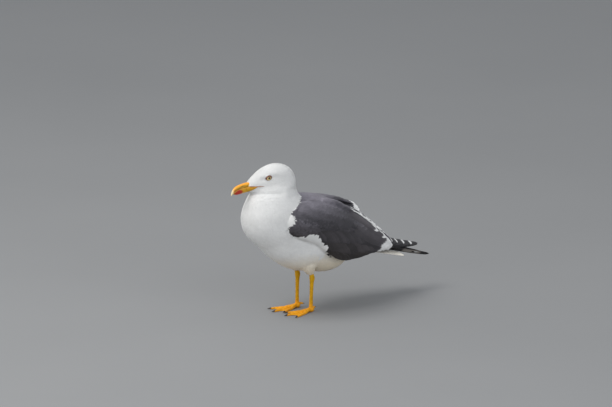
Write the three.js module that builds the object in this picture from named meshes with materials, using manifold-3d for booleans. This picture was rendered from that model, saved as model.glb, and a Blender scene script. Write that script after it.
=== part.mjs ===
// A lesser black-backed gull, adult and life size, standing at rest with its wings folded.
// Each named part of the bird is one closed solid, in millimetres: X to the bird's left, -Y the way it
// faces, Z up. The origin is on the ground, under the middle of the bird's length and breadth.
import * as THREE from "three";
import { mergeVertices } from "three/addons/utils/BufferGeometryUtils.js";
import Module from "manifold-3d";

const wasm = await Module();
wasm.setup();

// ---- Driving dimensions -------------------------------------------------------------------------

const GAP = 0.35; // clearance left between two parts that meet
const TAIL_LENGTH = 146;
const TARSUS = 60; // ankle to the root of the toes
const MIDDLE_TOE = 54; // without its claw
const STANCE = 44; // between the two feet
const BILL_LENGTH = 38; // forehead feathers to the foremost point, along the bird
const EYE_RADIUS = 6.2;
const HEAD_TURN = -9; // degrees, negative towards the bird's right
const NECK_PIVOT = new THREE.Vector3(0, -62, 0); // the head turns about an upright line through this
const ANKLE = TARSUS + 7; // height of the ankle joint
const SIDES = { left: 1, right: -1 };

// ---- Materials ----------------------------------------------------------------------------------

const paint = (color, roughness) => new THREE.MeshStandardMaterial({ color, roughness, metalness: 0 });
const WHITE = paint("#e6e6e4", 0.85);
const SLATE = paint("#4b4a50", 0.8);
const BLACK = paint("#1d1c1f", 0.7);
const YELLOW = paint("#dd9a12", 0.45);
const HORN = paint("#e9a51c", 0.35);
const CLAW = paint("#28221d", 0.4);
const IRIS = paint("#d9c377", 0.08);

// ---- Solids from geometry -----------------------------------------------------------------------

// A closed three.js geometry as a manifold solid.
function solidOf(geometry) {
  const bare = geometry.clone();
  bare.deleteAttribute("normal");
  bare.deleteAttribute("uv");
  const merged = mergeVertices(bare, 1e-4);
  const made = new wasm.Manifold(
    new wasm.Mesh({
      numProp: 3,
      vertProperties: new Float32Array(merged.getAttribute("position").array),
      triVerts: new Uint32Array(merged.index.array),
    }),
  );
  return made.volume() > 0 ? made : solidOf(turnedOut(merged));
}

// The same geometry with every face turned round.
function turnedOut(geometry) {
  const turned = geometry.toNonIndexed();
  const spots = turned.getAttribute("position");
  const [a, b] = [new THREE.Vector3(), new THREE.Vector3()];
  for (let i = 0; i < spots.count; i += 3) {
    a.fromBufferAttribute(spots, i + 1);
    b.fromBufferAttribute(spots, i + 2);
    spots.setXYZ(i + 1, b.x, b.y, b.z);
    spots.setXYZ(i + 2, a.x, a.y, a.z);
  }
  return turned;
}

const joined = (solids) => solids.reduce((whole, next) => whole.add(next));
const cutBy = (solid, tools) => tools.reduce((rest, tool) => rest.subtract(tool), solid);

// The largest single body of a solid, which drops slivers that a cut has left.
function mainBody(solid) {
  return solid.decompose().reduce((most, next) => (next.volume() > most.volume() ? next : most));
}

function part(name, solid, material) {
  const { vertProperties, triVerts } = mainBody(solid).getMesh();
  const geometry = new THREE.BufferGeometry()
    .setAttribute("position", new THREE.BufferAttribute(new Float32Array(vertProperties), 3))
    .setIndex(new THREE.BufferAttribute(new Uint32Array(triVerts), 1));
  geometry.computeVertexNormals();
  const mesh = new THREE.Mesh(geometry, material);
  mesh.name = name;
  return mesh;
}

// A cylinder geometry whose skin is laid out by place(t, angle, reach): t runs 0 to 1 along it, and
// reach is 0 at the middle of an end cap and 1 on the skin.
function tube(around, along, place) {
  const geometry = new THREE.CylinderGeometry(1, 1, 1, around, along);
  const spots = geometry.getAttribute("position");
  for (let i = 0; i < spots.count; i++) {
    const [x, y, z] = [spots.getX(i), spots.getY(i), spots.getZ(i)];
    const made = place(0.5 - y, Math.atan2(z, x), Math.hypot(x, z));
    spots.setXYZ(i, made.x, made.y, made.z);
  }
  return solidOf(geometry);
}

// Values between stations: each station is a list of numbers, the first its place along the line.
function between(stations, at) {
  const last = stations.length - 1;
  const found = stations.findIndex((station) => station[0] >= at);
  const i = Math.min(Math.max(found < 0 ? last : found, 1), last);
  const [p0, p1, p2, p3] = [i - 2, i - 1, i, i + 1].map((k) => stations[Math.min(Math.max(k, 0), last)]);
  const t = THREE.MathUtils.clamp((at - p1[0]) / (p2[0] - p1[0]), 0, 1);
  return p1.map((_, n) => {
    const slope = (a, b) => ((b[n] - a[n]) / (b[0] - a[0] || 1)) * (p2[0] - p1[0]);
    const [m1, m2] = [slope(p0, p2), slope(p1, p3)];
    const [t2, t3] = [t * t, t * t * t];
    return (
      (2 * t3 - 3 * t2 + 1) * p1[n] + (t3 - 2 * t2 + t) * m1 + (3 * t2 - 2 * t3) * p2[n] + (t3 - t2) * m2
    );
  });
}

const signedPower = (value, power) => Math.sign(value) * Math.abs(value) ** power;

// ---- The feathered body: soft forms that melt into each other -----------------------------------

const MELT = 6; // how far one form reaches into the next

// An egg form with its middle at (y, z), its half sizes, and its tail end drooping by some degrees.
const form = (y, z, half, droop = 0, x = 0) => ({
  middle: new THREE.Vector3(x, y, z),
  half: new THREE.Vector3(...half),
  droop: THREE.MathUtils.degToRad(droop),
});

const TRUNK_FORMS = [
  form(-74, 194, [57, 70, 60], 6), // breast
  form(-82, 230, [37, 47, 36]), // crop, below the throat
  form(-42, 158, [53, 66, 57], 16), // lower breast
  form(-4, 134, [52, 72, 54], 6), // belly
  form(46, 114, [42, 60, 44], 4), // vent
  form(16, 184, [50, 90, 48], 18), // back
  form(82, 148, [34, 60, 34], 31), // rump
  form(122, 108, [20, 42, 12], 14), // tail coverts
];
const HEAD_FORMS = [
  form(-67, 272, [22.5, 38, 31]), // skull and cheeks, in the head's own direction
  form(-93, 276, [14, 31, 19], -24), // forehead
  form(-107, 265, [9.5, 25, 11], -12), // lores and chin
  form(-63, 244, [31, 38, 24]), // hind neck
];

// How far a place is outside an egg form: negative inside it.
function outside(egg, place) {
  const [dx, dy, dz] = [place.x - egg.middle.x, place.y - egg.middle.y, place.z - egg.middle.z];
  const [cos, sin] = [Math.cos(egg.droop), Math.sin(egg.droop)];
  const q = new THREE.Vector3(dx, dy * cos - dz * sin, dy * sin + dz * cos).divide(egg.half);
  const depth = q.length();
  return (depth * (depth - 1)) / Math.max(q.divide(egg.half).length(), 1e-9);
}

const turn = (place, degrees) =>
  place
    .clone()
    .sub(NECK_PIVOT)
    .applyAxisAngle(new THREE.Vector3(0, 0, 1), THREE.MathUtils.degToRad(degrees))
    .add(NECK_PIVOT);
const withHead = (place) => turn(place, HEAD_TURN);

function outsideBody(place) {
  const facing = turn(place, -HEAD_TURN);
  const parts = [
    ...TRUNK_FORMS.map((egg) => outside(egg, place)),
    ...HEAD_FORMS.map((egg) => outside(egg, facing)),
  ];
  return -MELT * Math.log(parts.reduce((sum, far) => sum + Math.exp(-far / MELT), 0));
}

// The body's surface, moved out by grow, as seen from a middle: a sphere whose points go out to it.
function bodyFrom(middle, around, along, grow = 0) {
  const STEP = 5;
  const geometry = new THREE.SphereGeometry(1, around, along);
  const spots = geometry.getAttribute("position");
  const way = new THREE.Vector3();
  const at = (far) => outsideBody(way.clone().multiplyScalar(far).add(middle)) - grow;
  for (let i = 0; i < spots.count; i++) {
    way.fromBufferAttribute(spots, i).normalize();
    let [near, far] = [0, STEP];
    while (at(far) < 0) [near, far] = [far, far + STEP];
    for (let halving = 0; halving < 14; halving++) {
      const half = (near + far) / 2;
      if (at(half) < 0) near = half;
      else far = half;
    }
    way.multiplyScalar(near).add(middle);
    spots.setXYZ(i, way.x, way.y, way.z);
  }
  return solidOf(geometry);
}

// A large block on the far side of a plane through a place, with its face looking back along facing.
function blockBeyond(place, facing) {
  const SIZE = 900;
  const block = new THREE.BoxGeometry(SIZE, SIZE, SIZE);
  const away = facing.clone().normalize();
  block.applyQuaternion(new THREE.Quaternion().setFromUnitVectors(new THREE.Vector3(0, 0, 1), away));
  block.translate(...place.clone().addScaledVector(away, SIZE / 2));
  return solidOf(block);
}

// The neck lies between two cuts, each a plane through a point on the nape, tilted down to the front.
// The mantle is the saddle of the back that lies above a third one, between the wings.
const HEAD_CUT = { place: new THREE.Vector3(0, -28, 256), facing: new THREE.Vector3(0, -0.1, 1) };
const NECK_CUT = { place: new THREE.Vector3(0, -18, 236), facing: new THREE.Vector3(0, -0.28, 1) };
const MANTLE_CUT = { place: new THREE.Vector3(0, -18, 224), facing: new THREE.Vector3(0, 0.42, 0.9) };
const above = (cut, by = 0) => blockBeyond(cut.place.clone().addScaledVector(cut.facing, by), cut.facing);
const below = (cut, by = 0) =>
  blockBeyond(cut.place.clone().addScaledVector(cut.facing, -by), cut.facing.clone().negate());

// Where each of them is seen from, and its facets round and down.
const HEAD_MIDDLE = new THREE.Vector3(-2, -80, 272);
const NECK_MIDDLE = new THREE.Vector3(0, -74, 238);
const TRUNK_MIDDLE = new THREE.Vector3(0, -14, 158);
const HEAD_FACETS = [20, 15];
const NECK_FACETS = [20, 14];
const TRUNK_FACETS = [26, 18];

// ---- Bill and eyes ------------------------------------------------------------------------------

// Stations along the bill, as shares of its length from the forehead feathers: the height of its
// ridge or keel, the height of its cutting edge, and half its width.
const BILL_START = -129.5; // where the forehead feathers end, in the head's own direction
const UPPER_BILL = [
  [-0.5, 272, 264.4, 4.8],
  [-0.2, 273.4, 265.2, 5.8],
  [0, 273, 265.4, 6],
  [0.25, 271.9, 264.6, 5.2],
  [0.5, 269.9, 262.6, 4.5],
  [0.72, 267, 259.6, 3.7],
  [0.86, 263.3, 255.4, 2.9],
  [0.95, 258.4, 251.8, 1.9],
  [1, 252.6, 249.6, 0.8],
];
const LOWER_BILL = [
  [-0.5, 257.4, 264.4, 4.5],
  [-0.2, 254.8, 265.4, 5.5],
  [0, 254.2, 265.6, 5.6],
  [0.25, 253, 264.8, 4.8],
  [0.5, 251.4, 262.8, 4],
  [0.66, 250.7, 260.8, 3.4],
  [0.78, 251.2, 257.6, 2.7],
  [0.88, 252.2, 255, 1.6],
];

// One half of the bill. Its ridge is rounded and its cutting edge is flat.
function mandible(stations, grow = 0) {
  const EDGE = 0.45; // how square the section is
  const [start, end] = [stations[0][0], stations.at(-1)[0]];
  return tube(10, 10, (t, angle, reach) => {
    const share = start + (end - start) * t;
    const [, ridge, edge, width] = between(stations, share);
    const [middle, half] = [(ridge + edge) / 2, Math.abs(ridge - edge) / 2];
    const beyond = t === 0 ? -grow : t === 1 ? grow : 0;
    const towards = Math.sign(ridge - edge) * Math.sin(angle);
    const square = towards < 0 ? EDGE : 1;
    return withHead(
      new THREE.Vector3(
        signedPower(Math.cos(angle), towards < 0 ? EDGE : 0.8) * (width + grow) * reach,
        BILL_START - share * BILL_LENGTH - beyond,
        middle + signedPower(Math.sin(angle), square) * (half + grow) * reach,
      ),
    );
  });
}

const EYE = { out: 15.2, y: -94.6, z: 280.4 };
function eyeball(side, grow = 0) {
  const ball = new THREE.SphereGeometry(EYE_RADIUS + grow, 12, 8);
  ball.rotateZ(Math.PI / 2);
  ball.translate(...withHead(new THREE.Vector3(side * EYE.out, EYE.y, EYE.z)));
  return solidOf(ball);
}

// ---- Wings --------------------------------------------------------------------------------------

// Stations from the bend of the wing back to the tips of its longest inner feathers. Each gives the
// place along the bird, the upper edge (out, up), the lower edge (out, up), the swell and the thickness.
const WING = [
  [-84, 51, 200, 52, 190, 1, 4],
  [-78, 50, 211, 55, 180, 4, 9],
  [-64, 46, 221, 57, 168, 8, 12],
  [-40, 39, 227, 58, 157, 12, 13],
  [-8, 33, 228, 58, 143, 15, 13],
  [22, 29, 221, 57, 117, 18, 12],
  [52, 24, 212, 54, 100, 20, 10],
  [88, 12, 201, 50, 97, 20, 8],
  [120, 4, 184, 45, 98, 17, 6],
  [150, 3, 163, 40, 98, 13, 4],
  [180, 6, 140, 35, 98, 8, 3.2],
  [196, 10, 126, 30, 101, 4, 2.6],
  [203, 15, 116, 25, 106, 2, 1.6],
];
const WING_BACKING = 3; // how much deeper the wing is on its body side than on its outer side

// A place on or in the folded wing: at is the place along the bird, and the rest turn round its section.
function onWing(side, at, angle, reach, grow) {
  const [, upOut, up, lowOut, low, swell, thick] = between(WING, at);
  const down = new THREE.Vector2(lowOut - upOut, low - up);
  const half = down.length() / 2;
  down.normalize();
  const out = new THREE.Vector2(-down.y, down.x);
  const [along, across] = [Math.cos(angle), signedPower(Math.sin(angle), 0.7)];
  const depth = (thick / 2) * (across < 0 ? WING_BACKING : 1) + grow;
  const offChord = swell * (1 - along * along) + across * depth * reach;
  const onChord = along * (half + grow) * reach;
  return new THREE.Vector3(
    side * ((upOut + lowOut) / 2 + down.x * onChord + out.x * offChord),
    at,
    (up + low) / 2 + down.y * onChord + out.y * offChord,
  );
}

function foldedWing(side, grow = 0) {
  const [start, end] = [WING[0][0], WING.at(-1)[0]];
  return tube(12, 14, (t, angle, reach) => {
    const beyond = t === 0 ? -grow : t === 1 ? grow : 0;
    const made = onWing(side, start + (end - start) * t, angle, reach, grow);
    return made.setY(made.y + beyond);
  });
}

// A feather blade from root to tip, rounded at its end, with its flat side looking along facing.
function blade(root, tip, facing, width, thick, taper = 0.75) {
  const length = root.distanceTo(tip);
  const round = Math.min(width * taper, length * 0.45);
  const outline = new THREE.Shape();
  outline.moveTo(0, -width * 0.32);
  outline.quadraticCurveTo(length * 0.3, -width / 2, length - round, -width / 2);
  outline.bezierCurveTo(length - round * 0.4, -width / 2, length, -width * 0.28, length, 0);
  outline.bezierCurveTo(length, width * 0.28, length - round * 0.4, width / 2, length - round, width / 2);
  outline.quadraticCurveTo(length * 0.3, width / 2, 0, width * 0.32);
  const geometry = new THREE.ExtrudeGeometry(outline, { depth: thick, bevelEnabled: false, curveSegments: 2 });
  geometry.translate(0, 0, -thick / 2);
  const along = tip.clone().sub(root).normalize();
  const across = facing.clone().cross(along).normalize();
  geometry.applyMatrix4(
    new THREE.Matrix4().makeBasis(along, across, along.clone().cross(across)).setPosition(root),
  );
  return solidOf(geometry);
}

const point = (side, out, y, z) => new THREE.Vector3(side * out, y, z);

// The long outer feathers, as the places of their tips. The wing tips cross over the tail: the left
// one lies on top, and the right one passes under it and ends beyond it on the left.
const OUTER_TIPS = {
  left: [
    [4, 214, 109, 22],
    [-2, 233, 103, 21],
    [-7, 255, 97, 20],
    [-12, 279, 91, 18],
    [-14.5, 295, 87, 16],
  ],
  right: [
    [5, 214, 100, 22],
    [1, 234, 92, 20],
    [-4, 256, 84, 19],
    [-9, 280, 76, 18],
    [-12, 299, 70, 16],
  ],
};
function outerFeathers(side, grow = 0) {
  const THICK = 1.5;
  const tips = side > 0 ? OUTER_TIPS.left : OUTER_TIPS.right;
  return joined(
    tips.map(([out, y, z, width], i) => {
      const root = point(side, 34 + i * 1.5, 128, 124 - i * 3);
      const facing = new THREE.Vector3(side * 0.6, 0.1, 0.78);
      return blade(root, point(side, out, y, z), facing, width + 2 * grow, THICK + 2 * grow, 1.1);
    }),
  );
}

// ---- Tail ---------------------------------------------------------------------------------------

const TAIL_ROOT = { y: 94, z: 112 };
const TAIL_DROOP = THREE.MathUtils.degToRad(12);
function tailFan(grow = 0) {
  const [PAIRS, SPREAD, WIDTH, THICK] = [4, 5.5, 22, 1.6];
  const blades = [];
  for (let pair = 0; pair <= PAIRS; pair++)
    for (const side of pair ? [-1, 1] : [1]) {
      const fan = side * THREE.MathUtils.degToRad((SPREAD * pair) / PAIRS);
      const length = TAIL_LENGTH - 1.1 * pair;
      const root = new THREE.Vector3(side * pair * 2, TAIL_ROOT.y, TAIL_ROOT.z - pair * 0.35);
      const tip = new THREE.Vector3(
        Math.sin(fan) * length + root.x,
        root.y + Math.cos(fan) * Math.cos(TAIL_DROOP) * length,
        root.z - Math.sin(TAIL_DROOP) * length,
      );
      blades.push(blade(root, tip, new THREE.Vector3(0, 0.2, 1), WIDTH + 2 * grow, THICK + 2 * grow, 0.5));
    }
  return joined(blades);
}

// ---- Legs and feet ------------------------------------------------------------------------------

// A limb along a curve through places, each with its half width and half depth.
function limb(stations, around, along, grow = 0) {
  const curve = new THREE.CatmullRomCurve3(stations.map(([x, y, z]) => new THREE.Vector3(x, y, z)));
  const girths = stations.map(([, , , wide, deep], i) => [i / (stations.length - 1), wide, deep]);
  return tube(around, along, (t, angle, reach) => {
    const ahead = curve.getTangent(t);
    const across = new THREE.Vector3(1, 0, 0).addScaledVector(ahead, -ahead.x).normalize();
    const [, wide, deep] = between(girths, t);
    const beyond = t === 0 ? -grow : t === 1 ? grow : 0;
    return curve
      .getPoint(t)
      .addScaledVector(across, Math.cos(angle) * (wide + grow) * reach)
      .addScaledVector(ahead.clone().cross(across), Math.sin(angle) * (deep + grow) * reach)
      .addScaledVector(ahead, beyond);
  });
}

// The shoulder feathers over the back, as one soft lobe along stations: its place, half its width and
// half its depth. On the right side the wind has lifted them.
const SHOULDER = {
  left: [
    [24, 22, 221, 9, 5],
    [21, 56, 214, 13, 6.5],
    [16, 92, 199, 13, 5.5],
    [12, 119, 184, 4, 1.6],
  ],
  right: [
    [24, 22, 221, 9, 5],
    [24, 62, 213, 13, 6],
    [24, 106, 201, 13, 4.5],
    [23, 146, 186, 5, 1.4],
  ],
};
function shoulderFeathers(side) {
  const stations = side > 0 ? SHOULDER.left : SHOULDER.right;
  return limb(
    stations.map(([out, ...rest]) => [side * out, ...rest]),
    8,
    6,
  );
}

const legOut = (side) => (side * STANCE) / 2;

const thigh = (side, grow = 0) =>
  limb(
    [
      [legOut(side) + side * 4, -10, 112, 16, 20],
      [legOut(side) + side * 3, -7, 96, 14, 17],
      [legOut(side) + side, -3, 83, 9, 11],
      [legOut(side) + side, -1, 76, 5.6, 6.4],
    ],
    8,
    4,
    grow,
  );

const shank = (side, grow = 0) =>
  limb(
    [
      [legOut(side) + side * 1.5, -3, ANKLE + 16, 3.4, 3.8],
      [legOut(side) + side * 1.3, 0.5, ANKLE + 7, 4, 4.6],
      [legOut(side) + side, 2, ANKLE, 4.6, 5.6],
      [legOut(side) + side * 0.7, 1.5, ANKLE - 9, 3.3, 4.4],
      [legOut(side) + side * 0.4, 0.6, ANKLE / 2, 2.8, 3.8],
      [legOut(side), 0.2, 16, 3.1, 4],
      [legOut(side), 0, 8.4, 3.8, 4.4],
    ],
    8,
    7,
    grow,
  );

// The toes, from the inner one to the outer: the way each points, outwards from straight ahead in
// degrees, its length as a share of the middle toe, and its joints' places along it.
const TOES = {
  inner: { way: -21, share: 0.82, joints: [0.5] },
  middle: { way: 0, share: 1, joints: [0.42, 0.74] },
  outer: { way: 25, share: 0.93, joints: [0.36, 0.6, 0.8] },
};
const TOE_ROOT = { y: -3, z: 5.6 };
const toeIn = (side) => side * -2; // both feet point a little inwards

function toeWay(side, toe) {
  const way = THREE.MathUtils.degToRad(side * toe.way + toeIn(side));
  return new THREE.Vector3(Math.sin(way), -Math.cos(way), 0);
}

const toeLength = (toe) => MIDDLE_TOE * toe.share;
const toeRoot = (side) => new THREE.Vector3(legOut(side), TOE_ROOT.y, TOE_ROOT.z);

function toeSolid(side, toe, grow = 0) {
  const [root, way] = [toeRoot(side), toeWay(side, toe)];
  const along = [0, 0.2, 0.4, 0.6, 0.8, 1];
  const stations = along.map((share) => {
    const knob = toe.joints.reduce((sum, at) => sum + Math.exp(-(((share - at) / 0.07) ** 2)), 0);
    const deep = THREE.MathUtils.lerp(4.1, 2.1, share ** 0.8) + 0.5 * knob;
    const spot = root.clone().addScaledVector(way, toeLength(toe) * share);
    return [spot.x, spot.y, THREE.MathUtils.lerp(root.z, 1.7, Math.min(share * 2.2, 1)), deep * 0.86, deep];
  });
  return limb(stations, 6, 5, grow);
}

// The web between two toes: a thin sheet whose front edge sags back between the toe ends.
function web(side, toe, next) {
  const THICK = 1.3;
  const HEIGHT = 1.9;
  const [root, one, two] = [toeRoot(side), toeWay(side, toe), toeWay(side, next)];
  const [tip, otherTip] = [
    root.clone().addScaledVector(one, toeLength(toe) * 0.9),
    root.clone().addScaledVector(two, toeLength(next) * 0.9),
  ];
  const sag = tip.clone().add(otherTip).multiplyScalar(0.5).lerp(root, 0.2);
  const outline = new THREE.Shape();
  outline.moveTo(root.x, root.y);
  outline.lineTo(tip.x, tip.y);
  outline.quadraticCurveTo(sag.x, sag.y, otherTip.x, otherTip.y);
  outline.closePath();
  const sheet = new THREE.ExtrudeGeometry(outline, { depth: THICK, bevelEnabled: false, curveSegments: 4 });
  sheet.translate(0, 0, HEIGHT - THICK / 2);
  return solidOf(sheet);
}

const hindToe = (side, grow = 0) =>
  limb(
    [
      [legOut(side) - side * 0.5, 2, 8.5, 2.8, 2.8],
      [legOut(side) - side * 1.8, 8, 8, 2, 2.2],
      [legOut(side) - side * 3, 12, 7, 1.5, 1.6],
    ],
    6,
    3,
    grow,
  );

const floor = below({ place: new THREE.Vector3(0, 0, 0), facing: new THREE.Vector3(0, 0, 1) });

// The knob where the toes meet, round the lower end of the shank.
function heel(side) {
  const knob = new THREE.SphereGeometry(1, 8, 6);
  knob.scale(5.6, 7, 5.8);
  knob.translate(legOut(side), 0.4, 5.4);
  return solidOf(knob);
}

function foot(side) {
  const { inner, middle, outer } = TOES;
  const toes = [inner, middle, outer].map((toe) => toeSolid(side, toe));
  const webs = [web(side, inner, middle), web(side, middle, outer)];
  return cutBy(joined([...toes, ...webs, heel(side), hindToe(side)]), [shank(side, GAP), floor]);
}

// A claw curves down from the end of its toe to a point that stays just off the ground.
function claw(side, end, way, long, thick, height) {
  const spot = (share, up) => end.clone().addScaledVector(way, long * share).setZ(height + up);
  return limb(
    [
      [...spot(-0.3, 0.2), thick, thick],
      [...spot(0.15, 0.35), thick * 0.9, thick],
      [...spot(0.65, -0.1), thick * 0.55, thick * 0.62],
      [...spot(1, -0.62), 0.3, 0.3],
    ],
    6,
    4,
  );
}

function frontClaw(side, toe) {
  const way = toeWay(side, toe);
  const end = toeRoot(side).addScaledVector(way, toeLength(toe));
  return cutBy(claw(side, end, way, 8, 1.5, 1.9), [toeSolid(side, toe, GAP)]);
}

function hindClaw(side) {
  const end = new THREE.Vector3(legOut(side) - side * 3, 12, 0);
  return cutBy(claw(side, end, new THREE.Vector3(-side * 0.2, 0.98, 0), 3.6, 0.95, 7), [hindToe(side, GAP)]);
}

// ---- Putting the bird together ------------------------------------------------------------------

const bird = new THREE.Group();
const add = (name, solid, material) => bird.add(part(name, solid, material));

const grownTrunk = bodyFrom(TRUNK_MIDDLE, ...TRUNK_FACETS, GAP);
const bill = { upper: mandible(UPPER_BILL), lower: mandible(LOWER_BILL) };
const billRoom = [mandible(UPPER_BILL, GAP), mandible(LOWER_BILL, GAP)];
const eyeRoom = [eyeball(SIDES.left, GAP), eyeball(SIDES.right, GAP)];

const head = bodyFrom(HEAD_MIDDLE, ...HEAD_FACETS).intersect(above(HEAD_CUT, GAP));
const neck = bodyFrom(NECK_MIDDLE, ...NECK_FACETS).intersect(below(HEAD_CUT));
add("head", cutBy(head, [...billRoom, ...eyeRoom]), WHITE);
add("neck", neck.intersect(above(NECK_CUT, GAP)), WHITE);
const body = bodyFrom(TRUNK_MIDDLE, ...TRUNK_FACETS).intersect(below(NECK_CUT));
add("trunk", body.intersect(below(MANTLE_CUT)), WHITE);
add("mantle", body.intersect(above(MANTLE_CUT, GAP)), SLATE);
add("bill_upper", bill.upper, HORN);
add("bill_lower", cutBy(bill.lower, [mandible(UPPER_BILL, GAP)]), HORN);
add("tail", cutBy(tailFan(), [grownTrunk]), WHITE);

for (const [word, side] of Object.entries(SIDES)) {
  const wingRoom = foldedWing(side, 3 * GAP);
  const neckRoom = bodyFrom(NECK_MIDDLE, ...NECK_FACETS, GAP);
  add(`eye_${word}`, eyeball(side), IRIS);
  add(`wing_${word}`, cutBy(foldedWing(side), [grownTrunk, neckRoom]), SLATE);
  const outerTools = [grownTrunk, wingRoom, tailFan(GAP)];
  if (side === SIDES.right) outerTools.push(outerFeathers(SIDES.left, GAP));
  add(`outer_feathers_${word}`, cutBy(outerFeathers(side), outerTools), BLACK);
  add(`shoulder_feathers_${word}`, cutBy(shoulderFeathers(side), [grownTrunk, wingRoom]), SLATE);
  add(`thigh_${word}`, cutBy(thigh(side), [grownTrunk, shank(side, GAP)]), WHITE);
  add(`shank_${word}`, cutBy(shank(side), [grownTrunk]), YELLOW);
  add(`foot_${word}`, foot(side), YELLOW);
  for (const [name, toe] of Object.entries(TOES)) add(`claw_${name}_${word}`, frontClaw(side, toe), CLAW);
  add(`claw_hind_${word}`, hindClaw(side), CLAW);
}

// The origin goes under the middle of the bird's box.
const box = new THREE.Box3().setFromObject(bird);
const middle = box.getCenter(new THREE.Vector3());
bird.position.set(-middle.x, -middle.y, -box.min.z);

export default bird;
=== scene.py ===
import math

import bmesh
import bpy
import numpy as np
from mathutils import Matrix, Vector
from mathutils.bvhtree import BVHTree


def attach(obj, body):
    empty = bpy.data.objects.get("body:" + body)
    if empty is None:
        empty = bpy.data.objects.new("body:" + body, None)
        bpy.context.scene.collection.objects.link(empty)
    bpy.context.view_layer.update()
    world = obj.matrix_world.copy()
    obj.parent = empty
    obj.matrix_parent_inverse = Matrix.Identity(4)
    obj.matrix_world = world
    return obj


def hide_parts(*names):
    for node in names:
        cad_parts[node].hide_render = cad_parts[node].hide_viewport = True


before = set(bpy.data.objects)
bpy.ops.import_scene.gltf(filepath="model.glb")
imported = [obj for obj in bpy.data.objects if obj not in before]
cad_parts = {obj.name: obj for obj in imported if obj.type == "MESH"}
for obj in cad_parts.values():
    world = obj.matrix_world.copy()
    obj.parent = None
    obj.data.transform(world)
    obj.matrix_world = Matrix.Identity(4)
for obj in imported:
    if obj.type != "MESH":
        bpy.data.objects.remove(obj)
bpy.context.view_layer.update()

# ---- Stand and light ----------------------------------------------------------------------------
# A plain grey studio floor under a large soft key light, a weaker fill, a low light in front and an
# even sky.
# The viewer stands well off, ahead of the bird's left side and a little above it.


def wire(tree, kind, feeds=(), **fields):
    """A shader node with its fields set, and its inputs fed by a value or by another node's output."""
    made = tree.nodes.new("ShaderNode" + kind)
    for name, value in fields.items():
        setattr(made, name, value)
    for name, value in dict(feeds).items():
        if isinstance(value, bpy.types.NodeSocket):
            tree.links.new(value, made.inputs[name])
        else:
            made.inputs[name].default_value = value
    return made


def finish(name, roughness, **sockets):
    """A new material with its main shader's even values set; returns it, its tree and that shader."""
    made = bpy.data.materials.new(name)
    made.use_nodes = True
    shader = made.node_tree.nodes["Principled BSDF"]
    shader.inputs["Roughness"].default_value = roughness
    for socket, value in sockets.items():
        shader.inputs[socket.replace("_", " ")].default_value = value
    return made, made.node_tree, shader


def shade_colour(tree, shader, colour, height=None, strength=0, depth=0):
    """Feeds the shader its colour and, where there is a height, its fine relief."""
    tree.links.new(colour, shader.inputs["Base Color"])
    if height is not None:
        bump = wire(tree, "Bump", {"Height": height, "Strength": strength, "Distance": depth})
        tree.links.new(bump.outputs["Normal"], shader.inputs["Normal"])


def object_place(tree):
    return wire(tree, "TexCoord").outputs["Object"]


def stretched(tree, place, scale, turn=(0.0, 0.0, 0.0)):
    return wire(tree, "Mapping", {"Vector": place, "Rotation": turn, "Scale": scale}).outputs[0]


def maths(tree, operation, *values):
    return wire(tree, "Math", dict(enumerate(values)), operation=operation).outputs[0]


def noise(tree, place, scale, detail, roughness=0.5):
    feeds = {"Vector": place, "Scale": scale, "Detail": detail, "Roughness": roughness}
    return wire(tree, "TexNoise", feeds).outputs["Fac"]


def ranged(tree, value, low, high, to_low, to_high):
    """The value with the span from low to high stretched over the span from to_low to to_high."""
    feeds = {"Value": value, "From Min": low, "From Max": high, "To Min": to_low, "To Max": to_high}
    return wire(tree, "MapRange", feeds).outputs["Result"]


def ramp(tree, value, *stops):
    """The colour that the value has on a ramp of stops, each a place and a colour."""
    made = wire(tree, "ValToRGB", {"Fac": value})
    elements = made.color_ramp.elements
    for element, (at, tint) in zip(elements, (stops[0], stops[-1])):
        element.position, element.color = at, (*tint, 1)
    for at, tint in stops[1:-1]:
        elements.new(at).color = (*tint, 1)
    return made.outputs["Color"]


def toned(tree, colour, tone):
    """The colour made lighter or darker by a tone."""
    grey = wire(tree, "CombineXYZ", {0: tone, 1: tone, 2: tone}).outputs[0]
    return wire(tree, "VectorMath", {0: colour, 1: grey}, operation="MULTIPLY").outputs[0]


def mottled(name, roughness, scale, detail, first, last):
    """A material whose colour wanders between two tones."""
    made, tree, shader = finish(name, roughness)
    patchy = noise(tree, object_place(tree), scale, detail)
    shade_colour(tree, shader, ramp(tree, patchy, (0, first), (1, last)))
    return made


def placed(name, data):
    made = bpy.data.objects.new(name, data)
    bpy.context.scene.collection.objects.link(made)
    return made


VIEW_AZIMUTH, VIEW_ELEVATION, VIEW_FROM = math.radians(52), math.radians(13.5), 16.0
VIEW_WIDTH = 612 * 0.00195  # breadth of the picture at the bird, in metres
VIEW_AT = Vector((0, -0.0615, 0.2126))
FLOOR_TONES = (0.212, 0.216, 0.22), (0.245, 0.248, 0.251)

bm = bmesh.new()
bmesh.ops.create_grid(bm, x_segments=8, y_segments=8, size=9)
floor_mesh = bpy.data.meshes.new("studio_floor")
bm.to_mesh(floor_mesh)
bm.free()
floor_mesh.materials.append(mottled("studio_floor", 0.85, 1.3, 4.0, *FLOOR_TONES))
floor = placed("studio_floor", floor_mesh)

to_viewer = Vector((
    math.sin(VIEW_AZIMUTH) * math.cos(VIEW_ELEVATION),
    -math.cos(VIEW_AZIMUTH) * math.cos(VIEW_ELEVATION),
    math.sin(VIEW_ELEVATION),
))
camera = placed("viewer", bpy.data.cameras.new("viewer"))
camera.location = VIEW_AT + to_viewer * VIEW_FROM
camera.rotation_euler = to_viewer.to_track_quat("Z", "Y").to_euler()
camera.data.lens = camera.data.sensor_width * VIEW_FROM / VIEW_WIDTH
camera.data.clip_end = 100
bpy.context.scene.camera = camera


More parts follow.
